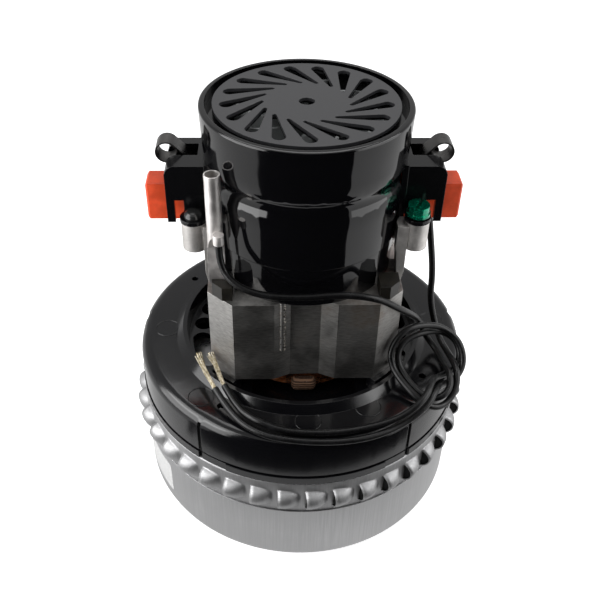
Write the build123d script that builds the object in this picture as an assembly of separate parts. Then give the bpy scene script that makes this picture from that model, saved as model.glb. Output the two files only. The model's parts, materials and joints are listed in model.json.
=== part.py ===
from build123d import *
import os
from math import asin, atan2, cos, degrees, hypot, pi, radians, sin, tan

# Two-stage vacuum motor unit in millimetres.
# The origin is the centre of the fan case's base and +Z is the shaft.
# The brushes lie along X and -Y is the front.

# Cuts run this far past the face that they leave
overrun = 1.0
# Stationary pieces nested in one another
nest_gap = 0.05
# A turning piece in a stationary one
running_gap = 0.05
# Pieces of two bodies that stand side by side
body_gap = 0.3
# A rounded edge of a turned piece is made of this many cones
round_steps = 3
# Where a curved blade bulges, how far a screw's dome goes down its head, where the brush starts
blade_bulge_share = 0.36
dome_share = 0.9
tip_start_share = 0.9
# Each arc of a lead takes up this share of its shorter run
arc_share = 0.45

# Fan case: lower shell and louvre ring
case_radius = 72.4
case_sheet = 0.9
case_corner = 3.8
case_seam_z = 31.6
case_top_z = 48.8
ring_radius = 71.9
case_flange_width = 6.4
joggle_depth = 3.0
bead_height = 1.4
bead_depth = 1.0
eye_radius = 20.0
eye_lip_height = 3.0
louvre_count = 40
louvre_front_angle = -90.6
louvre_half_height = 5.0
louvre_mid_radius = 4.3
louvre_tail_radius = 0.9
louvre_head_length = 3.4
louvre_length = 9.2
louvre_centre_radius = 72.0
louvre_z = 38.9
louvre_sides = 10
louvre_tail_share = 0.2

# Fan-end bracket
bracket_flange_height = 3.7
bracket_groove_height = 1.0
bracket_groove_radius = 70.6
bracket_skirt_radius = 71.5
bracket_top_z = 72.0
bracket_shoulder = 5.0
bracket_wall = 3.0
bracket_rib = 2.0
bracket_rib_count = 8
lip_outer_radius = 56.0
lip_crest_radius = 52.8
lip_inner_radius = 51.0
lip_foot_radius = 50.4
lip_top_z = 75.2
recess_floor_z = 68.0
recess_floor_thickness = 3.0
pit_radius = 35.5
pit_floor_z = 61.5
pit_floor_thickness = 2.5
pit_arm_half_width = 22.0
pit_arm_reach = 48.6
pit_wall = 2.4
pit_rib_width = 1.6
pit_rib_spacing = 10.4
pit_rib_height = 5.4
pit_rib_depth = 2.4
pad_inner_radius = 43.4
pad_outer_radius = 48.6
pad_span = 15.0
pad_count = 4
vent_circle_radius = 44.6
vent_radius = 4.2
vent_slot_span = 18.0
vent_pitch = 22.5
vent_start_angle = -7.5
fixing_circle_radius = 60.6
fixing_hole_radius = 1.6
fixing_start_angle = 55.6
fixing_count = 4
skirt_groove_width = 1.6
skirt_groove_depth = 1.1
skirt_groove_angles = (-127.0, -54.0)
flange_gap_angles = (-122.0, -58.0)
flange_gap_span = 10.0
lug_angles = (172.0, 8.0)
lug_radius = 4.0
lug_depth = 2.2
closing_plate_thickness = 0.9
closing_plate_bore = 12.0

# Bearings and shaft
lower_bearing_radius = 15.0
lower_bearing_z = 50.0
lower_bearing_height = 9.0
upper_bearing_radius = 11.0
upper_bearing_z = 153.6
upper_bearing_height = 7.0
bearing_split_share = 0.62
shaft_radius = 5.0
shaft_end_radius = 4.0
shaft_low_z = 7.4
shaft_high_z = 175.0

# Field stack
stack_low_z = 73.5
stack_high_z = 113.0
stack_half_width = 38.6
stack_half_depth = 36.5
stack_chamfer_x = 28.7
stack_chamfer_y = 27.8
stack_notch_floor = 6.0
stack_notch_mouth = 12.5
stack_notch_depth = 3.0
stack_bore = 23.1
slot_outer_radius = 32.2
slot_half_angle = 26.0
weld_width = 2.2
weld_length_share = 0.62
bolt_x = 35.4
bolt_radius = 1.75
bolt_hole_radius = 1.85
bolt_head_radius = 3.1
bolt_head_height = 2.6
bolt_boss_radius = 3.6

# Field coils
coil_inner_radius = 23.7
coil_outer_radius = 31.5
coil_near_angle = 4.0
coil_far_angle = 24.0
coil_low_z = 64.4
coil_high_z = 121.4
coil_clearance = 0.4
splice_width = 11.0
splice_depth = 3.2
splice_height = 6.4

# Armature
core_radius = 22.5
core_slot_count = 12
core_slot_width = 4.6
core_slot_floor = 11.0
winding_radius = 20.4
winding_inner_radius = 8.4
winding_low_z = 64.6
winding_high_z = 122.6
winding_shoulder = 3.0
commutator_radius = 11.5
commutator_low_z = 128.8
commutator_high_z = 151.2
commutator_bar_count = 24
commutator_slit = 0.5
commutator_riser = 2.0

# Air fans and guide vanes
fan_radius = 64.0
fan_sheet = 0.8
fan_eye_radius = 22.0
fan_height = 11.0
lower_fan_z = 5.2
upper_fan_z = 32.8
fan_blade_count = 7
fan_blade_sheet = 1.0
fan_blade_inner_radius = 25.0
fan_blade_sweep = 48.0
guide_plate_z = 27.6
guide_floor_z = 17.6
guide_vane_count = 8
guide_bore = 10.5
spacer_radius = 7.5
shaft_nut_radius = 8.0
shaft_nut_height = 6.4
shaft_nut_sides = 6
shaft_washer_radius = 11.0

# End bracket
column_outer_x = 39.4
column_foot_inner_x = 36.8
column_head_inner_x = 35.1
column_near_y = 12.7
column_far_y = 20.4
column_head_z = 138.2
column_knee_z = 131.0
rail_height = 4.0
rail_inner_x = 32.0
rail_half_width = 11.8
shelf_top_z = 131.0
shelf_thickness = 4.0
shelf_inner_x = 27.0
post_outer_x = 31.0
post_inner_y = 7.6
post_outer_y = 11.5
bridge_top_z = 160.6
bridge_thickness = 8.2
cover_clearance = 0.35
screw_boss_x = 43.0
screw_boss_y = -16.6
screw_boss_radius = 4.8
screw_boss_low_z = 127.4
screw_boss_high_z = 139.4
screw_boss_web = 5.6
screw_radius = 1.9
screw_end_gap = 3.0
plain_screw_head_radius = 3.6
plain_screw_head_height = 2.6
ground_screw_lift = 0.8
ground_screw_flange_radius = 4.7
ground_screw_flange_height = 1.2
ground_screw_head_radius = 4.2
ground_screw_head_height = 3.0
driver_slot_width = 1.3
driver_slot_angle = 65.0

# Motor cover
cover_top_z = 180.4
cover_wall = 2.2
cover_foot_radius = 36.6
cover_step_z = 129.8
cover_step_radius = 37.2
cover_step = 0.4
cover_groove_low_z = 151.0
cover_groove_high_z = 161.2
cover_groove_low_radius = 38.4
cover_groove_high_radius = 39.2
cover_groove_depth = 1.5
band_steps = 4
cover_rim_radius = 40.0
rim_round = 0.9
rim_inner_radius = 37.8
channel_inner_radius = 34.9
channel_floor_z = 176.0
grille_drop = 0.2
grille_thickness = 2.0
grille_slot_count = 17
grille_slot_inner_radius = 16.6
grille_slot_outer_radius = 29.8
grille_slot_skew = 25.5
grille_slot_start_angle = -90.0
grille_slot_head = 2.5
grille_slot_tail = 0.8
grille_hole_radius = 3.0
window_half_width = 12.4
window_top_z = 160.4

# Cooling fan
cooling_fan_radius = 31.6
cooling_fan_z = 163.2
cooling_fan_height = 12.6
cooling_fan_plate = 1.4
cooling_fan_blade_count = 9
cooling_fan_blade = 1.2
cooling_fan_hub_radius = 9.0

# Brush gear
brush_z = 140.0
card_half_width = 5.3
card_low_z = 132.6
card_high_z = 148.2
card_inner_x = 33.0
card_outer_x = 62.0
card_bevel = 0.8
sleeve_half_width = 3.9
sleeve_half_height = 6.2
sleeve_wall = 0.9
sleeve_inner_x = 14.6
sleeve_outer_x = 57.0
brush_half_width = 2.95
brush_half_height = 5.2
brush_length = 24.0
spring_radius = 2.7
spring_wall = 0.6
housing_half_width = 11.5
housing_plate = 2.0
housing_inner_x = 36.0
housing_plate_x = 38.4
housing_outer_x = 53.5
housing_leg_x = 50.4
housing_leg_low_z = 135.0
housing_notch_z = 144.8
housing_wing_x = 46.8
housing_low_z = 131.4
housing_top_z = 159.4
housing_round = 4.0
housing_web = 2.0
housing_sill_top_z = 154.4
housing_slot_x = 41.2
housing_slot_low_y = -2.6
housing_slot_high_y = 6.6
foot_thickness = 1.6
foot_radius = 5.1
clip_radius = 4.3
clip_sheet = 0.6
clip_low_y = -2.0
clip_high_y = 6.0
clip_x = 53.0
clip_z = 160.1
clip_curl_start = 140.0
clip_curl_span = 290.0
clip_tail_x = 45.6
clip_tail_z = 158.2
clip_end_x = 43.0

# Terminal blocks, terminal tube and lead sockets
block_inner_x = 28.6
block_outer_x = 36.6
block_front_y = -33.4
block_back_y = -23.6
block_height = 6.0
block_bevel = 4.0
tube_x = -34.4
tube_y = -26.6
tube_radius = 3.0
tube_wall = 0.5
tube_top_z = 165.0
tube_pinch_z = 140.0
tube_blade_z = 134.0
tube_blade_width = 6.6
tube_blade_thickness = 1.4
tube_blade_sink = 2.0
socket_radius = 2.1
socket_height = 4.0

# Leads
lead_radius = 1.35
bare_radius = 1.1
lead_sides = 10
# Stretch of a lead left out when its gap to itself is measured, in radii
lead_skip = 9

# Route of the long lead, from the terminal tube to the end of its cover
long_lead_route = [
    (-32.9, -31.3, 138.4),
    (-33.1, -32.1, 129.5),
    (-27.7, -37.2, 123.9),
    (-18.1, -40.5, 121.2),
    (-2.9, -40.9, 120.2),
    (12.5, -40.8, 121.7),
    (26.9, -39.9, 119.0),
    (36.6, -36.1, 110.4),
    (44.0, -27.4, 99.9),
    (48.9, -19.1, 90.0),
    (52.7, -18.2, 81.1),
    (57.5, -23.3, 76.5),
    (58.8, -31.6, 76.7),
    (59.7, -39.0, 79.2),
    (59.6, -44.7, 76.9),
    (56.8, -48.5, 74.8),
    (51.6, -49.4, 73.6),
    (45.6, -45.6, 74.5),
    (39.5, -36.2, 78.0),
    (38.7, -31.3, 82.9),
    (42.4, -27.6, 87.2),
    (50.1, -24.5, 88.1),
    (58.6, -20.3, 85.3),
    (65.1, -22.6, 82.3),
    (67.1, -27.5, 77.0),
    (63.4, -32.8, 73.3),
    (55.4, -37.8, 74.9),
    (50.3, -48.2, 82.3),
    (46.7, -56.9, 81.9),
    (36.8, -62.0, 76.2),
    (22.4, -65.2, 74.2),
    (7.7, -67.4, 74.3),
    (-9.0, -66.0, 74.1),
    (-19.5, -63.3, 77.2),
    (-27.7, -54.7, 75.9),
    (-32.7, -44.7, 78.2),
]

# Route of the short lead, from the right brush card to the end of its cover
short_lead_route = [
    (50.6, -3.4, 132.6),
    (52.5, -5.8, 120.6),
    (53.9, -10.1, 108.8),
    (54.6, -9.9, 94.0),
    (58.1, -12.3, 81.2),
    (60.2, -17.7, 76.6),
    (62.2, -26.3, 77.1),
    (63.3, -36.7, 78.7),
    (62.9, -43.0, 74.6),
    (59.0, -47.9, 70.3),
    (52.8, -51.9, 70.7),
    (46.3, -51.3, 74.3),
    (38.9, -42.2, 77.7),
    (36.1, -36.8, 80.4),
    (35.1, -33.7, 86.2),
    (39.4, -30.2, 92.7),
    (45.3, -27.3, 94.1),
    (55.2, -23.4, 91.1),
    (61.6, -23.6, 87.4),
    (66.1, -27.7, 83.9),
    (67.4, -32.4, 77.6),
    (64.1, -37.1, 73.5),
    (57.6, -40.7, 73.2),
    (52.6, -48.5, 78.9),
    (49.0, -55.4, 77.1),
    (38.8, -61.2, 72.2),
    (25.2, -67.7, 71.8),
    (10.8, -70.7, 72.7),
    (-4.5, -70.4, 73.4),
    (-18.2, -67.2, 73.8),
    (-29.5, -58.4, 74.9),
    (-36.3, -46.9, 78.8),
]

# The bare strands that go on from each lead
long_bare_route = [(-32.73, -44.65, 78.21), (-34.5, -41.2, 79), (-36.1, -35.6, 79.6), (-38.4, -31.2, 80)]
short_bare_route = [(-36.33, -46.85, 78.82), (-38.3, -43.6, 79.9), (-41.4, -37, 80.3), (-43.4, -32, 80.6)]

FOOT = (Align.CENTER, Align.CENTER, Align.MIN)
CORNER = (Align.MIN, Align.MIN, Align.MIN)


def disc(radius, low, high):
    """A cylinder on the shaft's axis between two heights."""
    return Pos(0, 0, low) * Cylinder(radius, high - low, align=FOOT)


def ring(inner, outer, low, high):
    """A plain ring on the shaft's axis."""
    return disc(outer, low, high) - disc(inner, low - overrun, high + overrun)


def post(x, y, radius, low, high):
    """An upright cylinder away from the axis."""
    return Pos(x, y, low) * Cylinder(radius, high - low, align=FOOT)


def block(x_low, x_high, y_low, y_high, z_low, z_high):
    """A box between given faces."""
    return Pos(x_low, y_low, z_low) * Box(x_high - x_low, y_high - y_low, z_high - z_low, align=CORNER)


def sector(inner, outer, low, high, start, stop):
    """A piece of a ring between two angles in degrees."""
    corners = [(inner, 0, low), (outer, 0, low), (outer, 0, high), (inner, 0, high)]
    outline = make_face(Polyline(*corners, close=True))
    return Rot(0, 0, start) * revolve(outline, Axis.Z, stop - start)


def turned(points):
    """A solid of revolution from radius and height pairs."""
    outline = make_face(Polyline(*[(radius, 0, z) for radius, z in points], close=True))
    return revolve(outline, Axis.Z, 360)


def round_edge(centre_radius, centre_z, radius, start, stop):
    """Radius and height pairs along a rounded edge."""
    points = []
    for step in range(round_steps + 1):
        angle = radians(start + (stop - start) * step / round_steps)
        points.append((centre_radius + radius * cos(angle), centre_z + radius * sin(angle)))
    return points


def at_angle(radius, angle):
    """Place of a point by its radius and its angle in degrees."""
    return radius * cos(radians(angle)), radius * sin(radians(angle))


def circle_edges(solid, radius, z):
    """The round edges of one radius at one height."""
    near = nest_gap
    rings = solid.edges().filter_by(GeomType.CIRCLE)
    return rings.filter_by(lambda e: abs(e.radius - radius) < near and abs(e.arc_center.Z - z) < near)


def lower_shell():
    """Drawn can with a rolled intake eye and a bead that carries the guide-vane plate."""
    inner_radius = case_radius - case_sheet
    middle = case_radius - case_corner
    outer_edge = round_edge(middle, case_corner, case_corner, -90, 0)
    inner_edge = round_edge(middle, case_corner, case_corner - case_sheet, -90, 0)
    inside_top = case_seam_z + overrun
    outside = turned([(0, 0)] + outer_edge + [(case_radius, case_seam_z), (0, case_seam_z)])
    inside = turned([(0, case_sheet)] + inner_edge + [(inner_radius, inside_top), (0, inside_top)])
    shell = outside - inside - disc(eye_radius, -overrun, eye_lip_height)
    lip = ring(eye_radius, eye_radius + case_sheet, 0, eye_lip_height)
    bead_low = guide_plate_z - bead_height
    bead = turned(
        [
            (inner_radius, bead_low),
            (inner_radius, guide_plate_z),
            (inner_radius - bead_depth, guide_plate_z),
            (inner_radius - bead_depth, guide_plate_z - case_sheet),
        ]
    )
    return shell + lip + bead


def louvre_length_piece(near_radius, far_radius, low, high):
    """A flat-sided piece of a louvre that tapers from one radius to another."""
    flat_share = cos(pi / louvre_sides)
    taper = degrees(atan2((near_radius - far_radius) * flat_share, high - low))
    section = Rot(0, 0, 180 / louvre_sides) * RegularPolygon(near_radius, louvre_sides)
    return Pos(0, 0, low) * extrude(section, high - low, dir=(0, 0, 1), taper=taper)


def louvre_body(grow, start):
    """The hood of one louvre, or the hollow in it when grow is negative."""
    middle_radius = louvre_mid_radius + grow
    tail_radius = louvre_tail_radius + grow * louvre_tail_share
    head = louvre_length_piece(louvre_half_height + grow, middle_radius, start, louvre_head_length)
    return head + louvre_length_piece(middle_radius, tail_radius, louvre_head_length, louvre_length + grow)


def louvre_ring():
    """Upper ring of the fan case: each louvre opens clockwise from above and tapers into the wall."""
    inner_radius = ring_radius - case_sheet
    half_turn = degrees(asin(louvre_length / louvre_centre_radius / 2))
    wall = ring(inner_radius, ring_radius, case_seam_z, case_top_z)
    mouth_place = (louvre_centre_radius, -louvre_length / 2, louvre_z)
    across = Plane(origin=mouth_place, x_dir=(0, 0, 1), z_dir=(0, 1, 0))
    hood = across * louvre_body(0, 0)
    hollow = across * louvre_body(-case_sheet, -case_sheet)
    hoods = []
    hollows = []
    for index in range(louvre_count):
        angle = louvre_front_angle + half_turn + index * 360 / louvre_count
        hoods.append(Rot(0, 0, angle) * hood)
        hollows.append(Rot(0, 0, angle) * hollow)
    body = wall + hoods
    body = body - hollows
    body = body - disc(inner_radius, case_seam_z - overrun, case_top_z + overrun)
    flange = ring(ring_radius - case_flange_width, inner_radius, case_top_z - case_sheet, case_top_z)
    skirt_radius = case_radius - case_sheet - nest_gap
    skirt = ring(skirt_radius - case_sheet, skirt_radius, case_seam_z - joggle_depth, case_seam_z)
    step = ring(skirt_radius - case_sheet, ring_radius, case_seam_z, case_seam_z + case_sheet)
    return body + flange + skirt + step


def vent_cutters():
    """A round vent between two kidney vents on both sides of the recess floor."""
    low = recess_floor_z - recess_floor_thickness - overrun
    high = recess_floor_z + overrun
    inner, outer = vent_circle_radius - vent_radius, vent_circle_radius + vent_radius
    cutters = []
    for side_angle in (vent_start_angle, vent_start_angle + 180):
        x, y = at_angle(vent_circle_radius, side_angle)
        cutters.append(post(x, y, vent_radius, low, high))
        for middle in (side_angle - vent_pitch, side_angle + vent_pitch):
            start, stop = middle - vent_slot_span / 2, middle + vent_slot_span / 2
            slot = sector(inner, outer, low, high, start, stop)
            for end in (start, stop):
                x, y = at_angle(vent_circle_radius, end)
                slot = slot + post(x, y, vent_radius, low, high)
            cutters.append(slot)
    return cutters


def pit_footprint(grow, low, high):
    """The pit under the stack: a round well with an arm to the front and one to the back."""
    half = pit_arm_half_width + grow
    reach = pit_arm_reach + grow
    arms = block(-half, half, -reach, reach, low, high)
    rounded = fillet(arms.edges().filter_by(Axis.Z), pit_wall + grow + pit_wall)
    return disc(pit_radius + grow, low, high) + rounded


def fan_end_bracket():
    """Black moulding between the fan case and the field stack, with a bearing boss under its floor."""
    flange_top = case_top_z + bracket_flange_height
    groove_top = flange_top + bracket_groove_height
    shoulder_radius = bracket_skirt_radius - bracket_shoulder
    shoulder_z = bracket_top_z - bracket_shoulder
    body = turned(
        [
            (0, case_top_z),
            (ring_radius, case_top_z),
            (ring_radius, flange_top),
            (bracket_groove_radius, flange_top),
            (bracket_groove_radius, groove_top),
            (bracket_skirt_radius, groove_top),
            *round_edge(shoulder_radius, shoulder_z, bracket_shoulder, 0, 90),
            (lip_outer_radius, bracket_top_z),
            (lip_crest_radius, lip_top_z),
            (lip_inner_radius, lip_top_z),
            (lip_foot_radius, recess_floor_z),
            (0, recess_floor_z),
        ]
    )

    # The hollow under the top face, round the pit's walls
    hollow_radius = bracket_skirt_radius - bracket_wall
    floor_under = recess_floor_z - recess_floor_thickness
    pit_under = pit_floor_z - pit_floor_thickness
    hollow = disc(hollow_radius, case_top_z - overrun, floor_under)
    top_under = bracket_top_z - bracket_wall
    hollow = hollow + ring(lip_outer_radius - bracket_wall, hollow_radius, floor_under, top_under)
    hollow = hollow - pit_footprint(pit_wall, pit_under, floor_under + overrun)
    body = body - hollow
    body = body - pit_footprint(0, pit_floor_z, recess_floor_z + overrun)

    # Bearing boss, the ribs that carry it and the seats under the stack and the bolts
    boss_radius = lower_bearing_radius + bracket_wall
    body = body + disc(boss_radius, lower_bearing_z, pit_under)
    pocket_top = lower_bearing_z + lower_bearing_height + nest_gap
    rib_low = lower_bearing_z + bracket_rib
    half_rib = bracket_rib / 2
    for index in range(bracket_rib_count):
        rib = block(lower_bearing_radius, hollow_radius, -half_rib, half_rib, rib_low, pit_under)
        body = body + Rot(0, 0, (index + 1 / 2) * 360 / bracket_rib_count) * rib
    for side in (1, -1):
        body = body + post(side * bolt_x, 0, bolt_boss_radius, pit_under, stack_low_z)
    for index in range(pad_count):
        middle = (index + 1 / 2) * 360 / pad_count
        start, stop = middle - pad_span / 2, middle + pad_span / 2
        body = body + sector(pad_inner_radius, pad_outer_radius, floor_under, stack_low_z, start, stop)
    for column in (-1, 0, 1):
        x = column * pit_rib_spacing
        y_out = -pit_arm_reach
        top = pit_floor_z + pit_rib_height
        body = body + block(
            x - pit_rib_width / 2, x + pit_rib_width / 2, y_out, y_out + pit_rib_depth, pit_floor_z, top
        )

    # Openings
    body = body - disc(lower_bearing_radius + nest_gap, lower_bearing_z - overrun, pocket_top)
    body = body - disc(spacer_radius + body_gap, pocket_top, pit_floor_z + overrun)
    body = body - vent_cutters()
    for side in (1, -1):
        body = body - post(side * bolt_x, 0, bolt_radius, pit_under + bracket_rib, stack_low_z + overrun)
    for index in range(fixing_count):
        x, y = at_angle(fixing_circle_radius, fixing_start_angle + index * 360 / fixing_count)
        body = body - post(x, y, fixing_hole_radius, top_under - overrun, bracket_top_z + overrun)

    # Grooves in the skirt, gaps in the flange and the thumb notches at the sides
    for angle in skirt_groove_angles:
        groove = block(
            bracket_skirt_radius - skirt_groove_depth,
            bracket_skirt_radius + overrun,
            -skirt_groove_width / 2,
            skirt_groove_width / 2,
            case_top_z - overrun,
            bracket_top_z - bracket_shoulder / 2,
        )
        body = body - Rot(0, 0, angle) * groove
    gap_outer = ring_radius + overrun
    for angle in flange_gap_angles:
        start, stop = angle - flange_gap_span / 2, angle + flange_gap_span / 2
        body = body - sector(bracket_skirt_radius, gap_outer, case_top_z - overrun, flange_top, start, stop)
    for angle in lug_angles:
        x, y = at_angle(bracket_skirt_radius + lug_radius - lug_depth, angle)
        body = body - post(x, y, lug_radius, bracket_top_z - bracket_shoulder, bracket_top_z + overrun)
    return body


def closing_plate():
    """Steel plate over the second fan, on the louvre ring's flange."""
    outer = bracket_skirt_radius - bracket_wall - nest_gap
    return ring(closing_plate_bore, outer, case_top_z, case_top_z + closing_plate_thickness)


def bearing_rings(radius, bore, low, height):
    """Outer and inner ring of a sealed bearing, apart by the running clearance."""
    split = bore + (radius - bore) * bearing_split_share
    outer = ring(split + running_gap, radius, low, low + height)
    inner = ring(bore + nest_gap, split, low, low + height)
    return outer, inner


def stack_outline():
    """The lamination's outline with cut corners and a bevelled notch at the front and the back."""
    quarter = [
        (stack_half_width, 0),
        (stack_half_width, stack_chamfer_y),
        (stack_chamfer_x, stack_half_depth),
        (stack_notch_mouth, stack_half_depth),
        (stack_notch_floor, stack_half_depth - stack_notch_depth),
    ]
    upper = quarter + [(-x, y) for x, y in reversed(quarter)]
    lower = [(x, -y) for x, y in reversed(upper)]
    return upper + lower[1:-1]


def field_stack():
    """Stack of laminations: bore, two coil slots, bolt holes and the weld bead in the front notch."""
    outline = make_face(Polyline(*[(x, y, stack_low_z) for x, y in stack_outline()], close=True))
    body = extrude(outline, stack_high_z - stack_low_z, dir=(0, 0, 1))
    low, high = stack_low_z - overrun, stack_high_z + overrun
    body = body - disc(stack_bore, low, high)
    for side_angle in (0, 180):
        start, stop = side_angle - slot_half_angle, side_angle + slot_half_angle
        body = body - sector(stack_bore - overrun, slot_outer_radius, low, high, start, stop)
    for side in (1, -1):
        body = body - post(side * bolt_x, 0, bolt_hole_radius, low, high)
    weld_x = -(stack_notch_floor + stack_notch_mouth) / 2
    weld_y = -(stack_half_depth - stack_notch_depth / 2)
    weld_low = stack_high_z - (stack_high_z - stack_low_z) * weld_length_share
    return body + post(weld_x, weld_y, weld_width / 2, weld_low, stack_high_z)


def field_coil(mirrored):
    """One coil round its pole: end turns over and under the stack and a side in each slot."""
    inner, outer = coil_inner_radius, coil_outer_radius
    near, far = coil_near_angle, coil_far_angle
    top_low = stack_high_z + coil_clearance
    bottom_high = stack_low_z - coil_clearance
    coil = sector(inner, outer, top_low, coil_high_z, near - 180, -near)
    coil = coil + sector(inner, outer, coil_low_z, bottom_high, near - 180, -near)
    coil = coil + sector(inner, outer, coil_low_z, coil_high_z, -far, -near)
    coil = coil + sector(inner, outer, coil_low_z, coil_high_z, near - 180, far - 180)
    half = splice_width / 2
    splice_low, splice_high = coil_low_z - overrun, coil_low_z + splice_height
    bundle = block(-half, half, -outer - splice_depth, -inner, splice_low, splice_high)
    coil = coil + fillet(bundle.edges().filter_by(Axis.X), splice_depth / 2)
    if mirrored:
        return mirror(coil, Plane.XZ)
    return coil


def terminal_block():
    """Moulded insulator on the front right corner of the stack."""
    body = block(
        block_inner_x, block_outer_x, block_front_y, block_back_y, stack_high_z, stack_high_z + block_height
    )
    corner = body.edges().filter_by(Axis.Z).sort_by(lambda e: e.center().X - e.center().Y)[-1]
    return chamfer(corner, block_bevel)


def terminal_tube():
    """Metal tube whose pinched lower end stands in the left insulator, with the long lead's socket."""
    bore_radius = tube_radius - tube_wall
    tube = post(tube_x, tube_y, tube_radius, tube_pinch_z, tube_top_z)
    tube = tube - post(tube_x, tube_y, bore_radius, tube_pinch_z + tube_wall, tube_top_z + overrun)
    half_width, half_thick = tube_blade_width / 2, tube_blade_thickness / 2
    wedge = Polyline(
        (0, -half_thick, tube_blade_z),
        (0, half_thick, tube_blade_z),
        (0, tube_radius, tube_pinch_z),
        (0, -tube_radius, tube_pinch_z),
        close=True,
    )
    pinch = extrude(make_face(wedge), tube_radius, dir=(1, 0, 0), both=True)
    pinch = post(tube_x, tube_y, tube_radius, tube_blade_z, tube_pinch_z) & (Pos(tube_x, tube_y, 0) * pinch)
    blade_low = stack_high_z + block_height - tube_blade_sink
    blade = block(
        tube_x - half_width,
        tube_x + half_width,
        tube_y - half_thick,
        tube_y + half_thick,
        blade_low,
        tube_blade_z,
    )
    start = Vector(*long_lead_route[0])
    socket = post(start.X, start.Y, socket_radius, start.Z, start.Z + socket_height)
    return tube + pinch + blade + socket


def left_terminal_block():
    """Left insulator, slotted for the terminal tube's blade."""
    body = mirror(terminal_block(), Plane.YZ)
    low = stack_high_z + block_height - tube_blade_sink
    half_width, half_thick = tube_blade_width / 2 + nest_gap, tube_blade_thickness / 2 + nest_gap
    return body - block(
        tube_x - half_width,
        tube_x + half_width,
        tube_y - half_thick,
        tube_y + half_thick,
        low - nest_gap,
        stack_high_z + block_height + overrun,
    )


def bracket_half():
    """Right half of the end bracket: rail, two columns, shelf, two posts and the front screw boss."""
    rail_high = stack_high_z + rail_height
    rail = block(rail_inner_x, column_outer_x, -rail_half_width, rail_half_width, stack_high_z, rail_high)
    half = rail
    column_points = [
        (column_foot_inner_x, stack_high_z),
        (stack_half_width, stack_high_z),
        (column_outer_x, rail_high),
        (column_outer_x, column_head_z),
        (column_head_inner_x, column_head_z),
        (column_head_inner_x, column_knee_z),
    ]
    half = half + block(
        column_foot_inner_x, column_outer_x, -column_near_y, column_near_y, stack_high_z, rail_high
    )
    for across in (1, -1):
        face = make_face(Polyline(*[(x, across * column_near_y, z) for x, z in column_points], close=True))
        half = half + extrude(face, column_far_y - column_near_y, dir=(0, across, 0))
    low, high = shelf_top_z - shelf_thickness, shelf_top_z
    half = half + block(column_head_inner_x, column_outer_x, -column_far_y, column_far_y, low, high)
    half = half - disc(cover_groove_low_radius + cover_clearance, stack_high_z, column_head_z + overrun)
    half = half + rail
    half = half + block(shelf_inner_x, column_outer_x, -rail_half_width, rail_half_width, low, high)
    for across in (1, -1):
        y_low, y_high = sorted((across * post_inner_y, across * post_outer_y))
        half = half + block(shelf_inner_x, post_outer_x, y_low, y_high, low, bridge_top_z)
    x, y = screw_boss_x, screw_boss_y
    half = half + block(
        column_outer_x - screw_boss_web / 2,
        x,
        y - screw_boss_web / 2,
        y + screw_boss_web / 2,
        screw_boss_low_z,
        column_head_z,
    )
    half = half + post(x, y, screw_boss_radius, screw_boss_low_z, screw_boss_high_z)
    hole_low = screw_boss_low_z + screw_end_gap
    half = half - post(x, y, screw_radius + nest_gap, hole_low, screw_boss_high_z + overrun)
    return half - post(bolt_x, 0, bolt_hole_radius, stack_high_z - overrun, rail_high + overrun)


def end_bracket():
    """Cast bracket: columns outside the cover, posts inside it and a bridge with the bearing seat."""
    right = bracket_half()
    bridge_low = bridge_top_z - bridge_thickness
    body = right + mirror(right, Plane.YZ)
    body = body + block(-post_outer_x, post_outer_x, -post_outer_y, post_outer_y, bridge_low, bridge_top_z)
    body = body - disc(upper_bearing_radius + nest_gap, upper_bearing_z, bridge_top_z + overrun)
    return body - disc(upper_bearing_radius - bracket_rib, bridge_low - overrun, upper_bearing_z + overrun)


def cover_outline():
    """Radius and height pairs of the cover's outside, with a hollow band round it and a rounded rim."""
    points = [
        (cover_foot_radius, stack_high_z),
        (cover_step_radius, cover_step_z),
        (cover_step_radius + cover_step, cover_step_z + cover_step),
    ]
    for step in range(band_steps + 1):
        share = step / band_steps
        radius = cover_groove_low_radius + (cover_groove_high_radius - cover_groove_low_radius) * share
        z = cover_groove_low_z + (cover_groove_high_z - cover_groove_low_z) * share
        points.append((radius - cover_groove_depth * sin(pi * share), z))
    rim_middle = cover_rim_radius - rim_round
    return points + round_edge(rim_middle, cover_top_z - rim_round, rim_round, 0, 90)


def grille_slot():
    """One teardrop slot of the grille, wide at its outer end and swept back towards the middle."""
    tail_x, tail_y = at_angle(grille_slot_inner_radius, -grille_slot_skew)
    head_x, head_y = grille_slot_outer_radius, 0
    length = hypot(head_x - tail_x, head_y - tail_y)
    along = degrees(atan2(head_y - tail_y, head_x - tail_x))
    lean = asin((grille_slot_head - grille_slot_tail) / length)
    head_touch_x = length - grille_slot_head * sin(lean)
    head_touch_y = grille_slot_head * cos(lean)
    tail_touch_x = -grille_slot_tail * sin(lean)
    tail_touch_y = grille_slot_tail * cos(lean)
    head_left, head_right = (head_touch_x, head_touch_y), (head_touch_x, -head_touch_y)
    tail_left, tail_right = (tail_touch_x, tail_touch_y), (tail_touch_x, -tail_touch_y)
    outline = Line(tail_left, head_left) + Line(head_right, tail_right)
    outline = outline + ThreePointArc(head_left, (length + grille_slot_head, 0), head_right)
    outline = outline + ThreePointArc(tail_right, (-grille_slot_tail, 0), tail_left)
    low = cover_top_z - grille_drop - grille_thickness
    cutter = extrude(make_face(outline), grille_thickness + overrun + overrun, dir=(0, 0, 1))
    return Pos(tail_x, tail_y, low - overrun) * Rot(0, 0, along) * cutter


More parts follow.
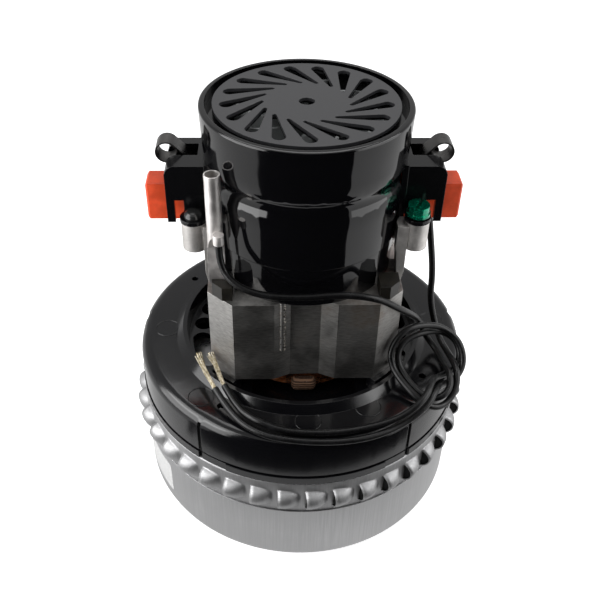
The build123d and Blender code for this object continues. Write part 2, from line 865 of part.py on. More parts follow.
def motor_cover():
    """Glossy cover and swirl grille in one moulding, open at the sides for the brush gear."""
    body = turned([(0, stack_high_z)] + cover_outline() + [(0, cover_top_z)])

    # The inside follows the outline at the wall's thickness
    roof_z = cover_top_z - grille_drop - grille_thickness
    ceiling_z = channel_floor_z - cover_wall
    band_inner = (cover_groove_low_radius + cover_groove_high_radius) / 2 - cover_groove_depth - cover_wall
    inside = turned(
        [
            (0, stack_high_z - overrun),
            (cover_foot_radius - cover_wall, stack_high_z - overrun),
            (band_inner, cover_groove_low_z),
            (band_inner, cover_groove_high_z),
            (rim_inner_radius, cover_groove_high_z + cover_wall),
            (rim_inner_radius, ceiling_z),
            (channel_inner_radius - cover_wall, ceiling_z),
            (channel_inner_radius - cover_wall, roof_z),
            (0, roof_z),
        ]
    )
    body = body - inside
    body = body - ring(channel_inner_radius, rim_inner_radius, channel_floor_z, cover_top_z + overrun)
    body = body - disc(channel_inner_radius, cover_top_z - grille_drop, cover_top_z + overrun)
    body = body - disc(grille_hole_radius, roof_z - overrun, cover_top_z + overrun)
    slots = []
    for index in range(grille_slot_count):
        slots.append(Rot(0, 0, grille_slot_start_angle + index * 360 / grille_slot_count) * grille_slot())
    body = body - slots
    reach = cover_rim_radius + overrun
    window_low = stack_high_z - overrun
    for side in (1, -1):
        x_low, x_high = sorted((side * post_outer_x, side * reach))
        body = body - block(x_low, x_high, -window_half_width, window_half_width, window_low, window_top_z)
    return body


def curved_blade(inner, outer, sweep, sheet, low, high):
    """A blade of one arc from an inner to an outer radius."""
    start = at_angle(inner, 0)
    stop = at_angle(outer, -sweep)
    middle = at_angle((inner + outer) / 2, -sweep * blade_bulge_share)
    path = ThreePointArc(start, middle, stop)
    return Pos(0, 0, low) * extrude(trace(path, sheet), high - low, dir=(0, 0, 1))


def air_fan(low):
    """Riveted fan of the air system: eye ring below, backward blades, hub plate above."""
    high = low + fan_height
    shroud = ring(fan_eye_radius, fan_radius, low, low + fan_sheet)
    plate = ring(shaft_end_radius + nest_gap, fan_radius, high - fan_sheet, high)
    fan = shroud + plate
    for index in range(fan_blade_count):
        blade = curved_blade(
            fan_blade_inner_radius,
            fan_radius - fan_sheet,
            fan_blade_sweep,
            fan_blade_sheet,
            low + fan_sheet,
            high - fan_sheet,
        )
        fan = fan + Rot(0, 0, index * 360 / fan_blade_count) * blade
    return fan


def guide_vane_plate():
    """Stationary plate that leads the air from the first fan back to the second fan's eye."""
    rim_radius = case_radius - case_sheet - nest_gap
    plate = ring(fan_eye_radius, rim_radius, guide_plate_z, guide_plate_z + case_sheet)
    floor = ring(guide_bore, fan_radius, guide_floor_z, guide_floor_z + fan_sheet)
    body = plate + floor
    for index in range(guide_vane_count):
        vane = curved_blade(
            fan_blade_inner_radius,
            fan_radius - fan_sheet,
            -fan_blade_sweep,
            fan_blade_sheet,
            guide_floor_z + fan_sheet,
            guide_plate_z,
        )
        body = body + Rot(0, 0, index * 360 / guide_vane_count) * vane
    return body


def shaft():
    """Stepped shaft: thin below the lower bearing and above the armature's top shoulder."""
    shoulder = upper_bearing_z - nest_gap
    body = disc(shaft_end_radius, shaft_low_z, shaft_high_z)
    return body + disc(shaft_radius, lower_bearing_z - nest_gap, shoulder)


def armature_core():
    """Slotted armature core."""
    body = ring(shaft_radius + nest_gap, core_radius, stack_low_z, stack_high_z)
    for index in range(core_slot_count):
        slot = block(
            core_slot_floor,
            core_radius + overrun,
            -core_slot_width / 2,
            core_slot_width / 2,
            stack_low_z - overrun,
            stack_high_z + overrun,
        )
        body = body - Rot(0, 0, index * 360 / core_slot_count) * slot
    return body


def armature_winding():
    """Winding: a bar in every slot joined by the end turns."""
    clear = coil_clearance / 2
    low_ring = ring(winding_inner_radius, winding_radius, winding_low_z, stack_low_z - clear)
    high_ring = ring(winding_inner_radius, winding_radius, stack_high_z + clear, winding_high_z)
    low_ring = chamfer(circle_edges(low_ring, winding_radius, winding_low_z), winding_shoulder)
    high_ring = chamfer(circle_edges(high_ring, winding_radius, winding_high_z), winding_shoulder)
    body = low_ring + high_ring
    half = core_slot_width / 2 - clear
    for index in range(core_slot_count):
        bar = block(
            core_slot_floor + clear,
            winding_radius,
            -half,
            half,
            stack_low_z - winding_shoulder,
            stack_high_z + winding_shoulder,
        )
        body = body + Rot(0, 0, index * 360 / core_slot_count) * bar
    return body


def commutator():
    """Copper commutator, slit between its bars."""
    body = ring(shaft_radius + nest_gap, commutator_radius, commutator_low_z, commutator_high_z)
    for index in range(commutator_bar_count):
        slit = block(
            commutator_radius - commutator_slit,
            commutator_radius + overrun,
            -commutator_slit / 2,
            commutator_slit / 2,
            commutator_low_z + commutator_riser,
            commutator_high_z + overrun,
        )
        body = body - Rot(0, 0, index * 360 / commutator_bar_count) * slit
    return body


def cooling_fan():
    """Fan under the grille: hub, back plate and curved blades."""
    low, high = cooling_fan_z, cooling_fan_z + cooling_fan_height
    bore_radius = shaft_end_radius + nest_gap
    plate = ring(bore_radius, cooling_fan_radius, low, low + cooling_fan_plate)
    hub = ring(bore_radius, cooling_fan_hub_radius, low, high - cooling_fan_plate)
    body = plate + hub
    for index in range(cooling_fan_blade_count):
        blade = curved_blade(
            cooling_fan_hub_radius - cooling_fan_blade,
            cooling_fan_radius - cooling_fan_blade,
            fan_blade_sweep,
            cooling_fan_blade,
            cooling_fan_z + cooling_fan_plate,
            high,
        )
        body = body + Rot(0, 0, index * 360 / cooling_fan_blade_count) * blade
    return body


def shaft_nut():
    """Hexagon nut on the shaft's lower end."""
    high = lower_fan_z + fan_height - fan_sheet - fan_sheet
    body = extrude(RegularPolygon(shaft_nut_radius, shaft_nut_sides), shaft_nut_height, dir=(0, 0, 1))
    body = Pos(0, 0, high - shaft_nut_height) * body
    return body - disc(shaft_end_radius + nest_gap, 0, high + overrun)


def brush_card():
    """Orange block that carries the brush's sleeve."""
    body = block(card_inner_x, card_outer_x, -card_half_width, card_half_width, card_low_z, card_high_z)
    outer_edges = body.faces().sort_by(Axis.X)[-1].edges()
    body = chamfer(outer_edges, card_bevel)
    half_width, half_height = sleeve_half_width + nest_gap, sleeve_half_height + nest_gap
    return body - block(
        card_inner_x - overrun,
        sleeve_outer_x + nest_gap,
        -half_width,
        half_width,
        brush_z - half_height,
        brush_z + half_height,
    )


def brush_sleeve():
    """Brass sleeve of rectangular section."""
    body = block(
        sleeve_inner_x,
        sleeve_outer_x,
        -sleeve_half_width,
        sleeve_half_width,
        brush_z - sleeve_half_height,
        brush_z + sleeve_half_height,
    )
    half_width, half_height = sleeve_half_width - sleeve_wall, sleeve_half_height - sleeve_wall
    return body - block(
        sleeve_inner_x - overrun,
        sleeve_outer_x - sleeve_wall,
        -half_width,
        half_width,
        brush_z - half_height,
        brush_z + half_height,
    )


def carbon_brush():
    """Carbon brush whose tip is hollowed to the commutator."""
    tip_radius = commutator_radius + body_gap
    body = block(
        commutator_radius * tip_start_share,
        tip_radius + brush_length,
        -brush_half_width,
        brush_half_width,
        brush_z - brush_half_height,
        brush_z + brush_half_height,
    )
    return body - disc(tip_radius, commutator_low_z - overrun, commutator_high_z)


def brush_spring():
    """Outer shape of the coiled spring behind the brush."""
    low = commutator_radius + body_gap + brush_length + body_gap
    high = sleeve_outer_x - sleeve_wall
    frame = Plane(origin=(low, 0, brush_z), x_dir=(0, 1, 0), z_dir=(1, 0, 0))
    outer = frame * Cylinder(spring_radius, high - low, align=FOOT)
    return outer - frame * Cylinder(spring_radius - spring_wall, high - low, align=FOOT)


def brush_housing():
    """Black holder in the cover's window: back plate, slotted top plate, cheeks, web, sill and foot."""
    gap = nest_gap
    body = block(
        housing_inner_x,
        housing_plate_x,
        -window_half_width + gap,
        window_half_width - gap,
        housing_low_z,
        window_top_z - gap,
    )
    outer_points = [
        (housing_plate_x, housing_notch_z),
        (housing_leg_x, housing_notch_z),
        (housing_leg_x, housing_leg_low_z),
        (housing_outer_x, housing_leg_low_z),
        (housing_outer_x, housing_top_z),
        (housing_plate_x, housing_top_z),
    ]
    half = housing_half_width
    face = make_face(Polyline(*[(x, half, z) for x, z in outer_points], close=True))
    shell = extrude(face, 2 * half, dir=(0, -1, 0))
    corner = shell.edges().filter_by(Axis.Y).sort_by(lambda e: e.center().X + e.center().Z)[-1]
    shell = fillet(corner, housing_round)
    inner_half = half - housing_plate
    web_low = card_high_z + gap
    web_high = web_low + housing_web
    roof_low = housing_top_z - housing_plate
    shell_low = housing_notch_z - overrun
    shell = shell - block(housing_plate_x, housing_leg_x, -inner_half, inner_half, web_high, roof_low)
    shell = shell - block(housing_plate_x, housing_leg_x, -inner_half, inner_half, shell_low, web_low)
    shell = shell - block(
        housing_leg_x - overrun,
        housing_outer_x + overrun,
        -inner_half,
        inner_half,
        housing_leg_low_z - overrun,
        web_low,
    )
    shell = shell - block(
        housing_slot_x,
        housing_outer_x + overrun,
        housing_slot_low_y,
        housing_slot_high_y,
        housing_sill_top_z,
        housing_top_z + overrun,
    )
    body = body + shell

    # Wing below the front cheek and the foot on the screw boss
    foot_low = screw_boss_high_z
    foot_high = foot_low + foot_thickness
    x, y = screw_boss_x, screw_boss_y
    body = body + block(housing_plate_x, housing_wing_x, -half, -inner_half, foot_low, housing_notch_z)
    foot = post(x, y, foot_radius, foot_low, foot_high)
    foot = foot + block(housing_plate_x, housing_wing_x, y, -inner_half, foot_low, foot_high)
    body = body + foot
    body = body - post(x, y, screw_radius + gap, foot_low - overrun, foot_high + overrun)
    return body - block(
        housing_inner_x - overrun,
        housing_plate_x + overrun,
        -card_half_width - gap,
        card_half_width + gap,
        card_low_z - gap,
        card_high_z + gap,
    )


def brush_clip():
    """Curled steel strip whose tail runs down through the holder's slot onto its web."""
    middle = clip_radius - clip_sheet / 2
    width = clip_high_y - clip_low_y
    frame = Plane(origin=(clip_x, clip_high_y, clip_z), x_dir=(1, 0, 0), z_dir=(0, -1, 0))
    curl = CenterArc((0, 0), middle, clip_curl_start - clip_curl_span, clip_curl_span)
    top = (middle * cos(radians(clip_curl_start)), middle * sin(radians(clip_curl_start)))
    bend = (clip_tail_x - clip_x, clip_tail_z - clip_z)
    foot_z = card_high_z + nest_gap + housing_web + clip_sheet
    foot = (clip_end_x - clip_x, foot_z - clip_z)
    strip = trace(curl, clip_sheet)
    strip = strip + trace(Polyline(top, bend, foot), clip_sheet)
    return extrude(frame * strip, width, dir=(0, -1, 0))


def plain_screw():
    """Dome-head screw on the left holder's foot."""
    head_low = screw_boss_high_z + foot_thickness
    x, y = -screw_boss_x, screw_boss_y
    shank = post(x, y, screw_radius, screw_boss_low_z + screw_end_gap + overrun, head_low)
    dome = plain_screw_head_height * dome_share
    head_high = head_low + plain_screw_head_height
    edge = round_edge(plain_screw_head_radius - dome, head_high - dome, dome, 0, 90)
    head = turned([(0, head_low), (plain_screw_head_radius, head_low)] + edge + [(0, head_high)])
    return shank + Pos(x, y, 0) * head


def ground_screw():
    """Green slotted screw with a round flange, standing a little proud of the right holder's foot."""
    flange_low = screw_boss_high_z + foot_thickness + ground_screw_lift
    flange_high = flange_low + ground_screw_flange_height
    head_high = flange_high + ground_screw_head_height
    x, y = screw_boss_x, screw_boss_y
    body = post(x, y, screw_radius, screw_boss_low_z + screw_end_gap + overrun, flange_low)
    body = body + post(x, y, ground_screw_flange_radius, flange_low, flange_high)
    body = body + post(x, y, ground_screw_head_radius, flange_high, head_high)
    slot = Pos(x, y, head_high) * Rot(0, 0, driver_slot_angle)
    slot_length = ground_screw_flange_radius + ground_screw_flange_radius
    return body - slot * Box(slot_length, driver_slot_width, ground_screw_head_height)


def through_bolts():
    """Two bolts from the end bracket's flanges through the stack into the fan-end bracket."""
    bolts = []
    head_low = stack_high_z + rail_height
    low = pit_floor_z - pit_floor_thickness + bracket_rib + overrun
    for side in (1, -1):
        shank = post(side * bolt_x, 0, bolt_radius, low, head_low)
        bolts.append(shank + post(side * bolt_x, 0, bolt_head_radius, head_low, head_low + bolt_head_height))
    return Compound(children=bolts)


def corner_radii(route):
    """The largest arc that both runs of each corner allow."""
    radii = []
    points = [Vector(*p) for p in route]
    for before, here, after in zip(points, points[1:], points[2:]):
        into, out = here - before, after - here
        turn = radians(into.get_angle(out))
        radii.append(arc_share * min(into.length, out.length) / tan(turn / 2))
    return radii


def lead(name, route, radius):
    """Many-sided tube along straight runs joined by tangent arcs."""
    radii = corner_radii(route)
    path = FilletPolyline(*route, radius=radii)
    start = Vector(*route[0])
    direction = Vector(*route[1]) - start
    section = Plane(origin=start, z_dir=direction) * RegularPolygon(radius, lead_sides)
    tube = sweep(section, path=path)
    length = path.length
    share = tube.volume / (section.area * length)
    print(name, "length", round(length, 1), "volume share", round(share, 4))
    print(name, "least radius", round(min(radii), 1))
    print(name, "radii", [round(r, 1) for r in radii])
    return tube, path


def route_points(path, spacing):
    """Points along a path at a steady spacing."""
    count = int(path.length / spacing)
    return [path.position_at(index / count) for index in range(count + 1)]


def least_gap(points, others, radius_sum, skip):
    """Least gap between two tubes, or of one to itself past the skipped stretch."""
    least = None
    for index, here in enumerate(points):
        for other_index, there in enumerate(others):
            if skip and abs(index - other_index) < skip:
                continue
            gap = (here - there).length - radius_sum
            least = gap if least is None else min(least, gap)
    return least


def build_leads():
    """Both leads and their bare ends, with their least gaps printed."""
    long_tube, long_path = lead("lead_long", long_lead_route, lead_radius)
    short_tube, short_path = lead("lead_short", short_lead_route, lead_radius)
    spacing = lead_radius / 2
    long_points = route_points(long_path, spacing)
    short_points = route_points(short_path, spacing)
    skip = int(lead_skip * lead_radius / spacing)
    across = lead_radius + lead_radius
    print("gap of lead_long to itself", round(least_gap(long_points, long_points, across, skip), 2))
    print("gap of lead_short to itself", round(least_gap(short_points, short_points, across, skip), 2))
    print("gap between the leads", round(least_gap(long_points, short_points, across, 0), 2))
    write("lead_long", long_tube)
    write("lead_short", short_tube)
    write("bare_end_long", lead("bare_end_long", long_bare_route, bare_radius)[0])
    write("bare_end_short", lead("bare_end_short", short_bare_route, bare_radius)[0])


def write(name, shape):
    """One file for one named piece."""
    export_step(shape, "parts/" + name + ".step")


def build_case():
    write("lower_shell", lower_shell())
    write("louvre_ring", louvre_ring())
    write("guide_vane_plate", guide_vane_plate())
    write("closing_plate", closing_plate())
    write("fan_end_bracket", fan_end_bracket())


def build_rotor():
    write("shaft", shaft())
    write("armature_core", armature_core())
    write("armature_winding", armature_winding())
    write("commutator", commutator())
    write("lower_air_fan", air_fan(lower_fan_z))
    write("upper_air_fan", air_fan(upper_fan_z))
    bore = shaft_end_radius + nest_gap
    lower_fan_top = lower_fan_z + fan_height
    upper_fan_low_plate = upper_fan_z + fan_height - fan_sheet
    write("fan_spacer", ring(bore, spacer_radius, lower_fan_top, upper_fan_low_plate))
    write("bearing_spacer", ring(bore, spacer_radius, upper_fan_z + fan_height, lower_bearing_z - nest_gap))
    washer_high = lower_fan_top - fan_sheet
    write("shaft_washer", ring(bore, shaft_washer_radius, washer_high - fan_sheet, washer_high))
    write("shaft_nut", shaft_nut())
    write("cooling_fan", cooling_fan())


def build_bearings():
    lower = (lower_bearing_radius, shaft_radius, lower_bearing_z, lower_bearing_height)
    upper = (upper_bearing_radius, shaft_end_radius, upper_bearing_z, upper_bearing_height)
    for place, sizes in (("lower", lower), ("upper", upper)):
        outer, inner = bearing_rings(*sizes)
        write(place + "_bearing_outer", outer)
        write(place + "_bearing_inner", inner)


def build_field():
    write("field_stack", field_stack())
    write("field_coil_front", field_coil(False))
    write("field_coil_back", field_coil(True))
    write("terminal_block_right", terminal_block())
    write("terminal_block_left", left_terminal_block())
    write("terminal_tube", terminal_tube())


def build_top():
    write("end_bracket", end_bracket())
    write("bracket_screw", plain_screw())
    write("ground_screw", ground_screw())
    write("through_bolts", through_bolts())
    write("motor_cover", motor_cover())


def build_brush_gear():
    pieces = {
        "brush_housing": brush_housing,
        "brush_card": brush_card,
        "brush_sleeve": brush_sleeve,
        "brush_clip": brush_clip,
        "carbon_brush": carbon_brush,
        "brush_spring": brush_spring,
    }
    for name, make in pieces.items():
        right = make()
        left = mirror(right, Plane.YZ)
        write(name + "_right", right)
        write(name + "_left", left)


os.makedirs("parts", exist_ok=True)
build_case()
build_rotor()
build_bearings()
build_field()
build_top()
build_brush_gear()
build_leads()
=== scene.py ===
import json
import math

import bmesh
import bpy
from bpy.props import FloatProperty, FloatVectorProperty, IntProperty, PointerProperty
from mathutils import Matrix, Vector

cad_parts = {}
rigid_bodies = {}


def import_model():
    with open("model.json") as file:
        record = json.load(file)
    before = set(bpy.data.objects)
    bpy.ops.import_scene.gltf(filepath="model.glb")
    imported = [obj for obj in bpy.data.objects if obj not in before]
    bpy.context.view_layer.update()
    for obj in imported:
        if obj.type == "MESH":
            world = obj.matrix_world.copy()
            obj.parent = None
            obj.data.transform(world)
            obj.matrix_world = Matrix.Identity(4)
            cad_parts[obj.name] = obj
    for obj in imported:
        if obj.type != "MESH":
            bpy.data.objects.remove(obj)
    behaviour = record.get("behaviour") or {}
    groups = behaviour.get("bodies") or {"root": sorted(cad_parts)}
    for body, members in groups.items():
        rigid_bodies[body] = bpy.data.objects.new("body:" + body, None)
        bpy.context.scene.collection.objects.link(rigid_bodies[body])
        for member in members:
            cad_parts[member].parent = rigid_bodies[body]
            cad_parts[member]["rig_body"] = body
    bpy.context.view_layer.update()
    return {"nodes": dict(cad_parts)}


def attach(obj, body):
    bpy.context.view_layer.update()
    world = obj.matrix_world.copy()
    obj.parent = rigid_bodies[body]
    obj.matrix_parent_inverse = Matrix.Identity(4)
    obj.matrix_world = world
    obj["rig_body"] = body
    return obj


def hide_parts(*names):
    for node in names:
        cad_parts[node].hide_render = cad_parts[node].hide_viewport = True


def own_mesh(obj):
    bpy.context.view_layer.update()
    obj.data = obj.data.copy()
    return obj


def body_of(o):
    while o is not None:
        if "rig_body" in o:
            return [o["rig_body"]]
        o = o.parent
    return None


bl_info = {
    "name": "Vacuum motor unit",
    "version": (1, 0, 0),
    "blender": (4, 5, 0),
    "location": "View3D > Sidebar > Vacuum Motor",
    "description": "Finishes, wire, cords and studio for a two-stage vacuum motor unit",
    "category": "Object",
}

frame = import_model()

MM = 0.001
STATOR = "stator"

# Tolerances and fine settings, in millimetres unless a name says otherwise
SAME_LEVEL = 0.01
SAME_RADIUS = 0.05
MERGE_REACH = 0.002
CUT_REACH_METRES = 1e-7
NORMAL_WEIGHT = 80

# The can of the fan case and its label, in millimetres and degrees
CASE_WALL = 0.9
CASE_STEPS = 144
EYE_RADIUS, EYE_LIP, EYE_ROUND = 20.0, 3.0, 0.8
LABEL_START, LABEL_SPAN, LABEL_STEPS = -166.0, 22.0, 16
LABEL_LOW, LABEL_HIGH, LABEL_CORNER, LABEL_LIFT = 8.4, 26.2, 1.6, 0.03

# The louvre ring, in millimetres, shares and counts
RING_FLANGE, RING_STEP, RING_SPIGOT, RING_SHEET = 6.4, 1.3, 3.0, 0.6
RING_TOP_ROUND, RING_SEAM_ROUND = 0.5, 0.4
HOOD_ROWS, HOOD_SIDES, HOOD_ROOT = 9, 32, 0.8
HOOD_TAIL_SHARE, HOOD_FALL_POWER = 0.32, 2.8
HOOD_LEAN_SHARE, HOOD_LIFT_SHARE = 0.14, 0.12
# The MOUTH sizes place the dark discs of painted shade inside the mouths
MOUTH_SIDES, MOUTH_MARGIN, MOUTH_DEPTH = 28, 0.5, 0.5

# Ejector marks on the bracket, as radius and degrees
MARK_PLACES = ((58.8, -89.4), (59.8, -178.1), (61.8, -133.4), (57.5, -64.0), (59.8, 1.9), (59.8, 91.0))
MARK_HEIGHT, MARK_RADIUS, MARK_BEAD = 72.0, 5.2, 0.22

# Weld bead in the front notch
WELD_POOLS, WELD_PITCH, WELD_RADIUS, WELD_SWAY, WELD_TILT = 15, 1.62, 1.35, 0.18, 24
WELD_TOP = (-9.25, -35.05, 111.6)
WELD_SHAPE = (1.0, 0.75, 0.95, 1)

# Field coils: turns of the ends, and where the sides enter and leave the stack
COIL_INNER, COIL_COLUMNS, COIL_ACROSS, COIL_UP, COIL_STAGGER = 24.3, 7, 1.12, 1.1, 0.15
COIL_FLOORS, COIL_FIRST_UP, WIRE_RADIUS = (64.9, 114.0), 0.3, 0.58
COIL_START, COIL_SPAN, COIL_STEPS = 10, 160, 30
STACK_CUTS = ((73.0, 1), (113.5, -1))
SPLICE_PLACE, SPLICE_SIZE, SPLICE_ROUND = (0, -29.4, 66.7), (10.6, 10.2, 6.6), 2.4

# Studio levels, where 1 is white, and its lamps as place, size and share of the lamp power
WORLD_MIRRORED, WORLD_LIGHT = 0.5, 0.45
FLOOR_GLOW, FLOOR_MIRRORED, FLOOR_RADIUS = 0.55, 0.85, 4.0
LAMPS = (
    ("soft_left", (-0.6, -0.16, 0.6), (0.62, 0.34), 1.0),
    ("soft_right", (0.6, -0.08, 0.56), (0.62, 0.3), 0.62),
    ("soft_top", (0.0, 0.28, 0.85), (0.6, 0.6), 1.0),
    ("panel_left", (-0.25, -0.11, 0.15), (0.26, 0.2), 0.22),
    ("panel_right", (0.25, -0.08, 0.15), (0.26, 0.2), 0.07),
)
AIM_HEIGHT = 0.1

# Dark card of the studio: outlines as radius, degrees and height, each with its span and all in millimetres
NEAR_STRIP = (((116, -64, 1.0), (172, -64, 1.0)), 124)
WIDE_STRIP = (((170, -52, 1.4), (1300, -52, 1.4), (1300, -52, 1500.0)), 98)
CARD_STEPS = 36


# Shared tools for meshes


def at_angle(radius, degrees, z):
    """A point in millimetres from its radius, its angle and its height."""
    angle = math.radians(degrees)
    return Vector((radius * math.cos(angle), radius * math.sin(angle), z))


def chain(bm, points, closed=False):
    """A chain of edges through a few points given in millimetres."""
    verts = [bm.verts.new(Vector(point) * MM) for point in points]
    edges = [bm.edges.new(pair) for pair in zip(verts, verts[1:])]
    if closed:
        edges.append(bm.edges.new((verts[-1], verts[0])))
    return verts, edges


def spin_profile(bm, points, steps, closed=True):
    """A surface of revolution round Z from radius and height pairs."""
    verts, edges = chain(bm, [(radius, 0, z) for radius, z in points], closed)
    bmesh.ops.spin(
        bm, geom=verts + edges, cent=(0, 0, 0), axis=(0, 0, 1), angle=math.tau, steps=steps, use_merge=True
    )
    bmesh.ops.recalc_face_normals(bm, faces=bm.faces)


def round_rings(bm, radius, z, offset, segments):
    """Rounds the ring of edges at one radius and height."""
    ring = [
        edge
        for edge in bm.edges
        if all(
            abs(vert.co.z / MM - z) < SAME_LEVEL and abs(vert.co.xy.length / MM - radius) < SAME_RADIUS
            for vert in edge.verts
        )
    ]
    bmesh.ops.bevel(
        bm,
        geom=ring,
        offset=offset * MM,
        offset_type="OFFSET",
        segments=segments,
        profile=0.5,
        affect="EDGES",
        material=-1,
        clamp_overlap=True,
    )


def cut_below(bm, place, direction):
    """Cuts a mesh by a plane and clears the side that the direction points away from."""
    bmesh.ops.bisect_plane(
        bm,
        geom=bm.verts[:] + bm.edges[:] + bm.faces[:],
        dist=CUT_REACH_METRES,
        plane_co=place,
        plane_no=direction,
        clear_inner=True,
    )


def spin_all(bm, angle, steps, **more):
    """Spins the whole mesh round the motor's axis."""
    bmesh.ops.spin(
        bm,
        geom=bm.verts[:] + bm.edges[:] + bm.faces[:],
        cent=(0, 0, 0),
        axis=(0, 0, 1),
        angle=angle,
        steps=steps,
        **more,
    )


def take(whole, bm):
    """Adds one bmesh to another and frees it."""
    shape = bpy.data.meshes.new("taken")
    bm.to_mesh(shape)
    bm.free()
    whole.from_mesh(shape)
    bpy.data.meshes.remove(shape)


def finish_piece(name, bm, materials, body=STATOR, sharp=None):
    """Turns a bmesh into a piece that rides on a body, shaded smooth up to the sharp angle."""
    for face in bm.faces:
        face.smooth = True
    if sharp is not None:
        limit = math.radians(sharp)
        for edge in bm.edges:
            edge.smooth = edge.calc_face_angle(0.0) < limit
    mesh = bpy.data.meshes.new(name)
    bm.to_mesh(mesh)
    bm.free()
    piece = bpy.data.objects.new(name, mesh)
    bpy.context.scene.collection.objects.link(piece)
    for material in materials:
        mesh.materials.append(material)
    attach(piece, body)
    return piece


def node_mesh(node):
    """A bmesh of a CAD node with its loose triangles merged."""
    bm = bmesh.new()
    bm.from_mesh(frame["nodes"][node].data)
    bmesh.ops.remove_doubles(bm, verts=bm.verts, dist=MERGE_REACH * MM)
    for face in bm.faces:
        face.material_index = 0
    return bm


def smooth_node(node, material, sharp=34):
    """A merged and smoothly shaded copy of a CAD node that stands for it."""
    body = body_of(frame["nodes"][node])[0]
    piece = finish_piece(node + "_dressed", node_mesh(node), [material], body, sharp)
    even = piece.modifiers.new("Even shading", "WEIGHTED_NORMAL")
    even.keep_sharp = True
    even.weight = NORMAL_WEIGHT
    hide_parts(node)
    return piece


# Shared tools for materials


class Finish:
    """A material on the Principled shader with short calls for its pattern nodes."""

    noise_roughness = 0.55
    zone_edge = 0.1
    bevel_samples = 4

    def __init__(self, name):
        self.material = bpy.data.materials.new(name)
        self.material.use_nodes = True
        self.nodes = self.material.node_tree.nodes
        self.links = self.material.node_tree.links
        self.shader = self.nodes["Principled BSDF"]
        self.place = self.nodes.new("ShaderNodeTexCoord").outputs["Object"]

    def set(self, **values):
        """Sets sockets of the shader by their names."""
        for name, value in values.items():
            self.shader.inputs[name.replace("_", " ")].default_value = value
        return self

    def stretched(self, scale):
        """Object coordinates scaled unevenly, for grain that runs one way."""
        mapping = self.nodes.new("ShaderNodeMapping")
        mapping.inputs["Scale"].default_value = scale
        self.links.new(self.place, mapping.inputs["Vector"])
        return mapping.outputs["Vector"]

    def noise(self, scale, vector=None, detail=3):
        """Cloudy pattern from nought to one."""
        node = self.nodes.new("ShaderNodeTexNoise")
        node.inputs["Scale"].default_value = scale
        node.inputs["Detail"].default_value = detail
        node.inputs["Roughness"].default_value = self.noise_roughness
        self.links.new(vector or self.place, node.inputs["Vector"])
        return node.outputs["Fac"]

    def disc_zone(self, height, radius):
        """One above a height and within a radius, nought elsewhere."""
        split = self.nodes.new("ShaderNodeSeparateXYZ")
        self.links.new(self.place, split.inputs[0])
        reach = self.nodes.new("ShaderNodeVectorMath")
        reach.operation = "LENGTH"
        self.links.new(self.stretched((1, 1, 0)), reach.inputs[0])
        both = self.nodes.new("ShaderNodeMath")
        both.operation = "MULTIPLY"
        above = self.spread(split.outputs["Z"], (height - self.zone_edge) * MM, height * MM)
        within = self.spread(reach.outputs["Value"], radius * MM, (radius + self.zone_edge) * MM, 1, 0)
        self.links.new(above, both.inputs[0])
        self.links.new(within, both.inputs[1])
        return both.outputs[0]

    def stripes(self, scale, direction, distortion):
        """Parallel bands across one axis."""
        node = self.nodes.new("ShaderNodeTexWave")
        node.wave_type = "BANDS"
        node.bands_direction = direction
        node.inputs["Scale"].default_value = scale
        node.inputs["Distortion"].default_value = distortion
        self.links.new(self.place, node.inputs["Vector"])
        return node.outputs["Fac"]

    def spread(self, value, low, high, to_low=0.0, to_high=1.0):
        """Maps a range of a pattern smoothly to another range."""
        node = self.nodes.new("ShaderNodeMapRange")
        node.interpolation_type = "SMOOTHSTEP"
        node.inputs["From Min"].default_value = low
        node.inputs["From Max"].default_value = high
        node.inputs["To Min"].default_value = to_low
        node.inputs["To Max"].default_value = to_high
        self.links.new(value, node.inputs["Value"])
        return node.outputs["Result"]

    def mix(self, factor, first, second):
        """Colour between two colours or sockets."""
        node = self.nodes.new("ShaderNodeMix")
        node.data_type = "RGBA"
        self.links.new(factor, node.inputs["Factor"])
        for socket, colour in ((node.inputs[6], first), (node.inputs[7], second)):
            if isinstance(colour, tuple):
                socket.default_value = (*colour[:3], 1)
            else:
                self.links.new(colour, socket)
        return node.outputs[2]

    def colour(self, value):
        """Links the base colour."""
        self.links.new(value, self.shader.inputs["Base Color"])
        return self

    def roughness(self, value):
        """Links the roughness."""
        self.links.new(value, self.shader.inputs["Roughness"])
        return self

    def bumps(self, *layers, edge=0.0):
        """Bump layers as (height, strength, distance in millimetres) over an optional rounded edge."""
        normal = None
        if edge:
            bevel = self.nodes.new("ShaderNodeBevel")
            bevel.samples = self.bevel_samples
            bevel.inputs["Radius"].default_value = edge * MM
            normal = bevel.outputs["Normal"]
        for height, strength, distance in layers:
            bump = self.nodes.new("ShaderNodeBump")
            bump.inputs["Strength"].default_value = strength
            bump.inputs["Distance"].default_value = distance * MM
            self.links.new(height, bump.inputs["Height"])
            if normal:
                self.links.new(normal, bump.inputs["Normal"])
            normal = bump.outputs["Normal"]
        if normal:
            self.links.new(normal, self.shader.inputs["Normal"])
        return self


def tinted(colour, share):
    """A colour made lighter or darker."""
    return tuple(channel * share for channel in colour[:3])


def drawn_sheet(name, colour, rough=0.42, edge=0.25):
    """Zinc-plated sheet with fine upright drawing lines and cloudy plating."""
    made = Finish(name).set(Metallic=1.0)
    lines = made.noise(1.0, made.stretched((2600, 2600, 30)), detail=2)
    clouds = made.noise(38, detail=4)
    shade = made.mix(made.spread(clouds, 0.35, 0.7), tinted(colour, 0.88), tinted(colour, 1.06))
    made.colour(made.mix(made.spread(lines, 0.4, 0.62, 0, 0.5), shade, tinted(colour, 0.8)))
    made.roughness(made.spread(clouds, 0.3, 0.7, rough - 0.05, rough + 0.07))
    made.bumps((lines, 0.2, 0.03), edge=edge)
    return made.material


SATIN_COLOUR, SATIN_ROUGHNESS = (0.026, 0.026, 0.028), 0.32


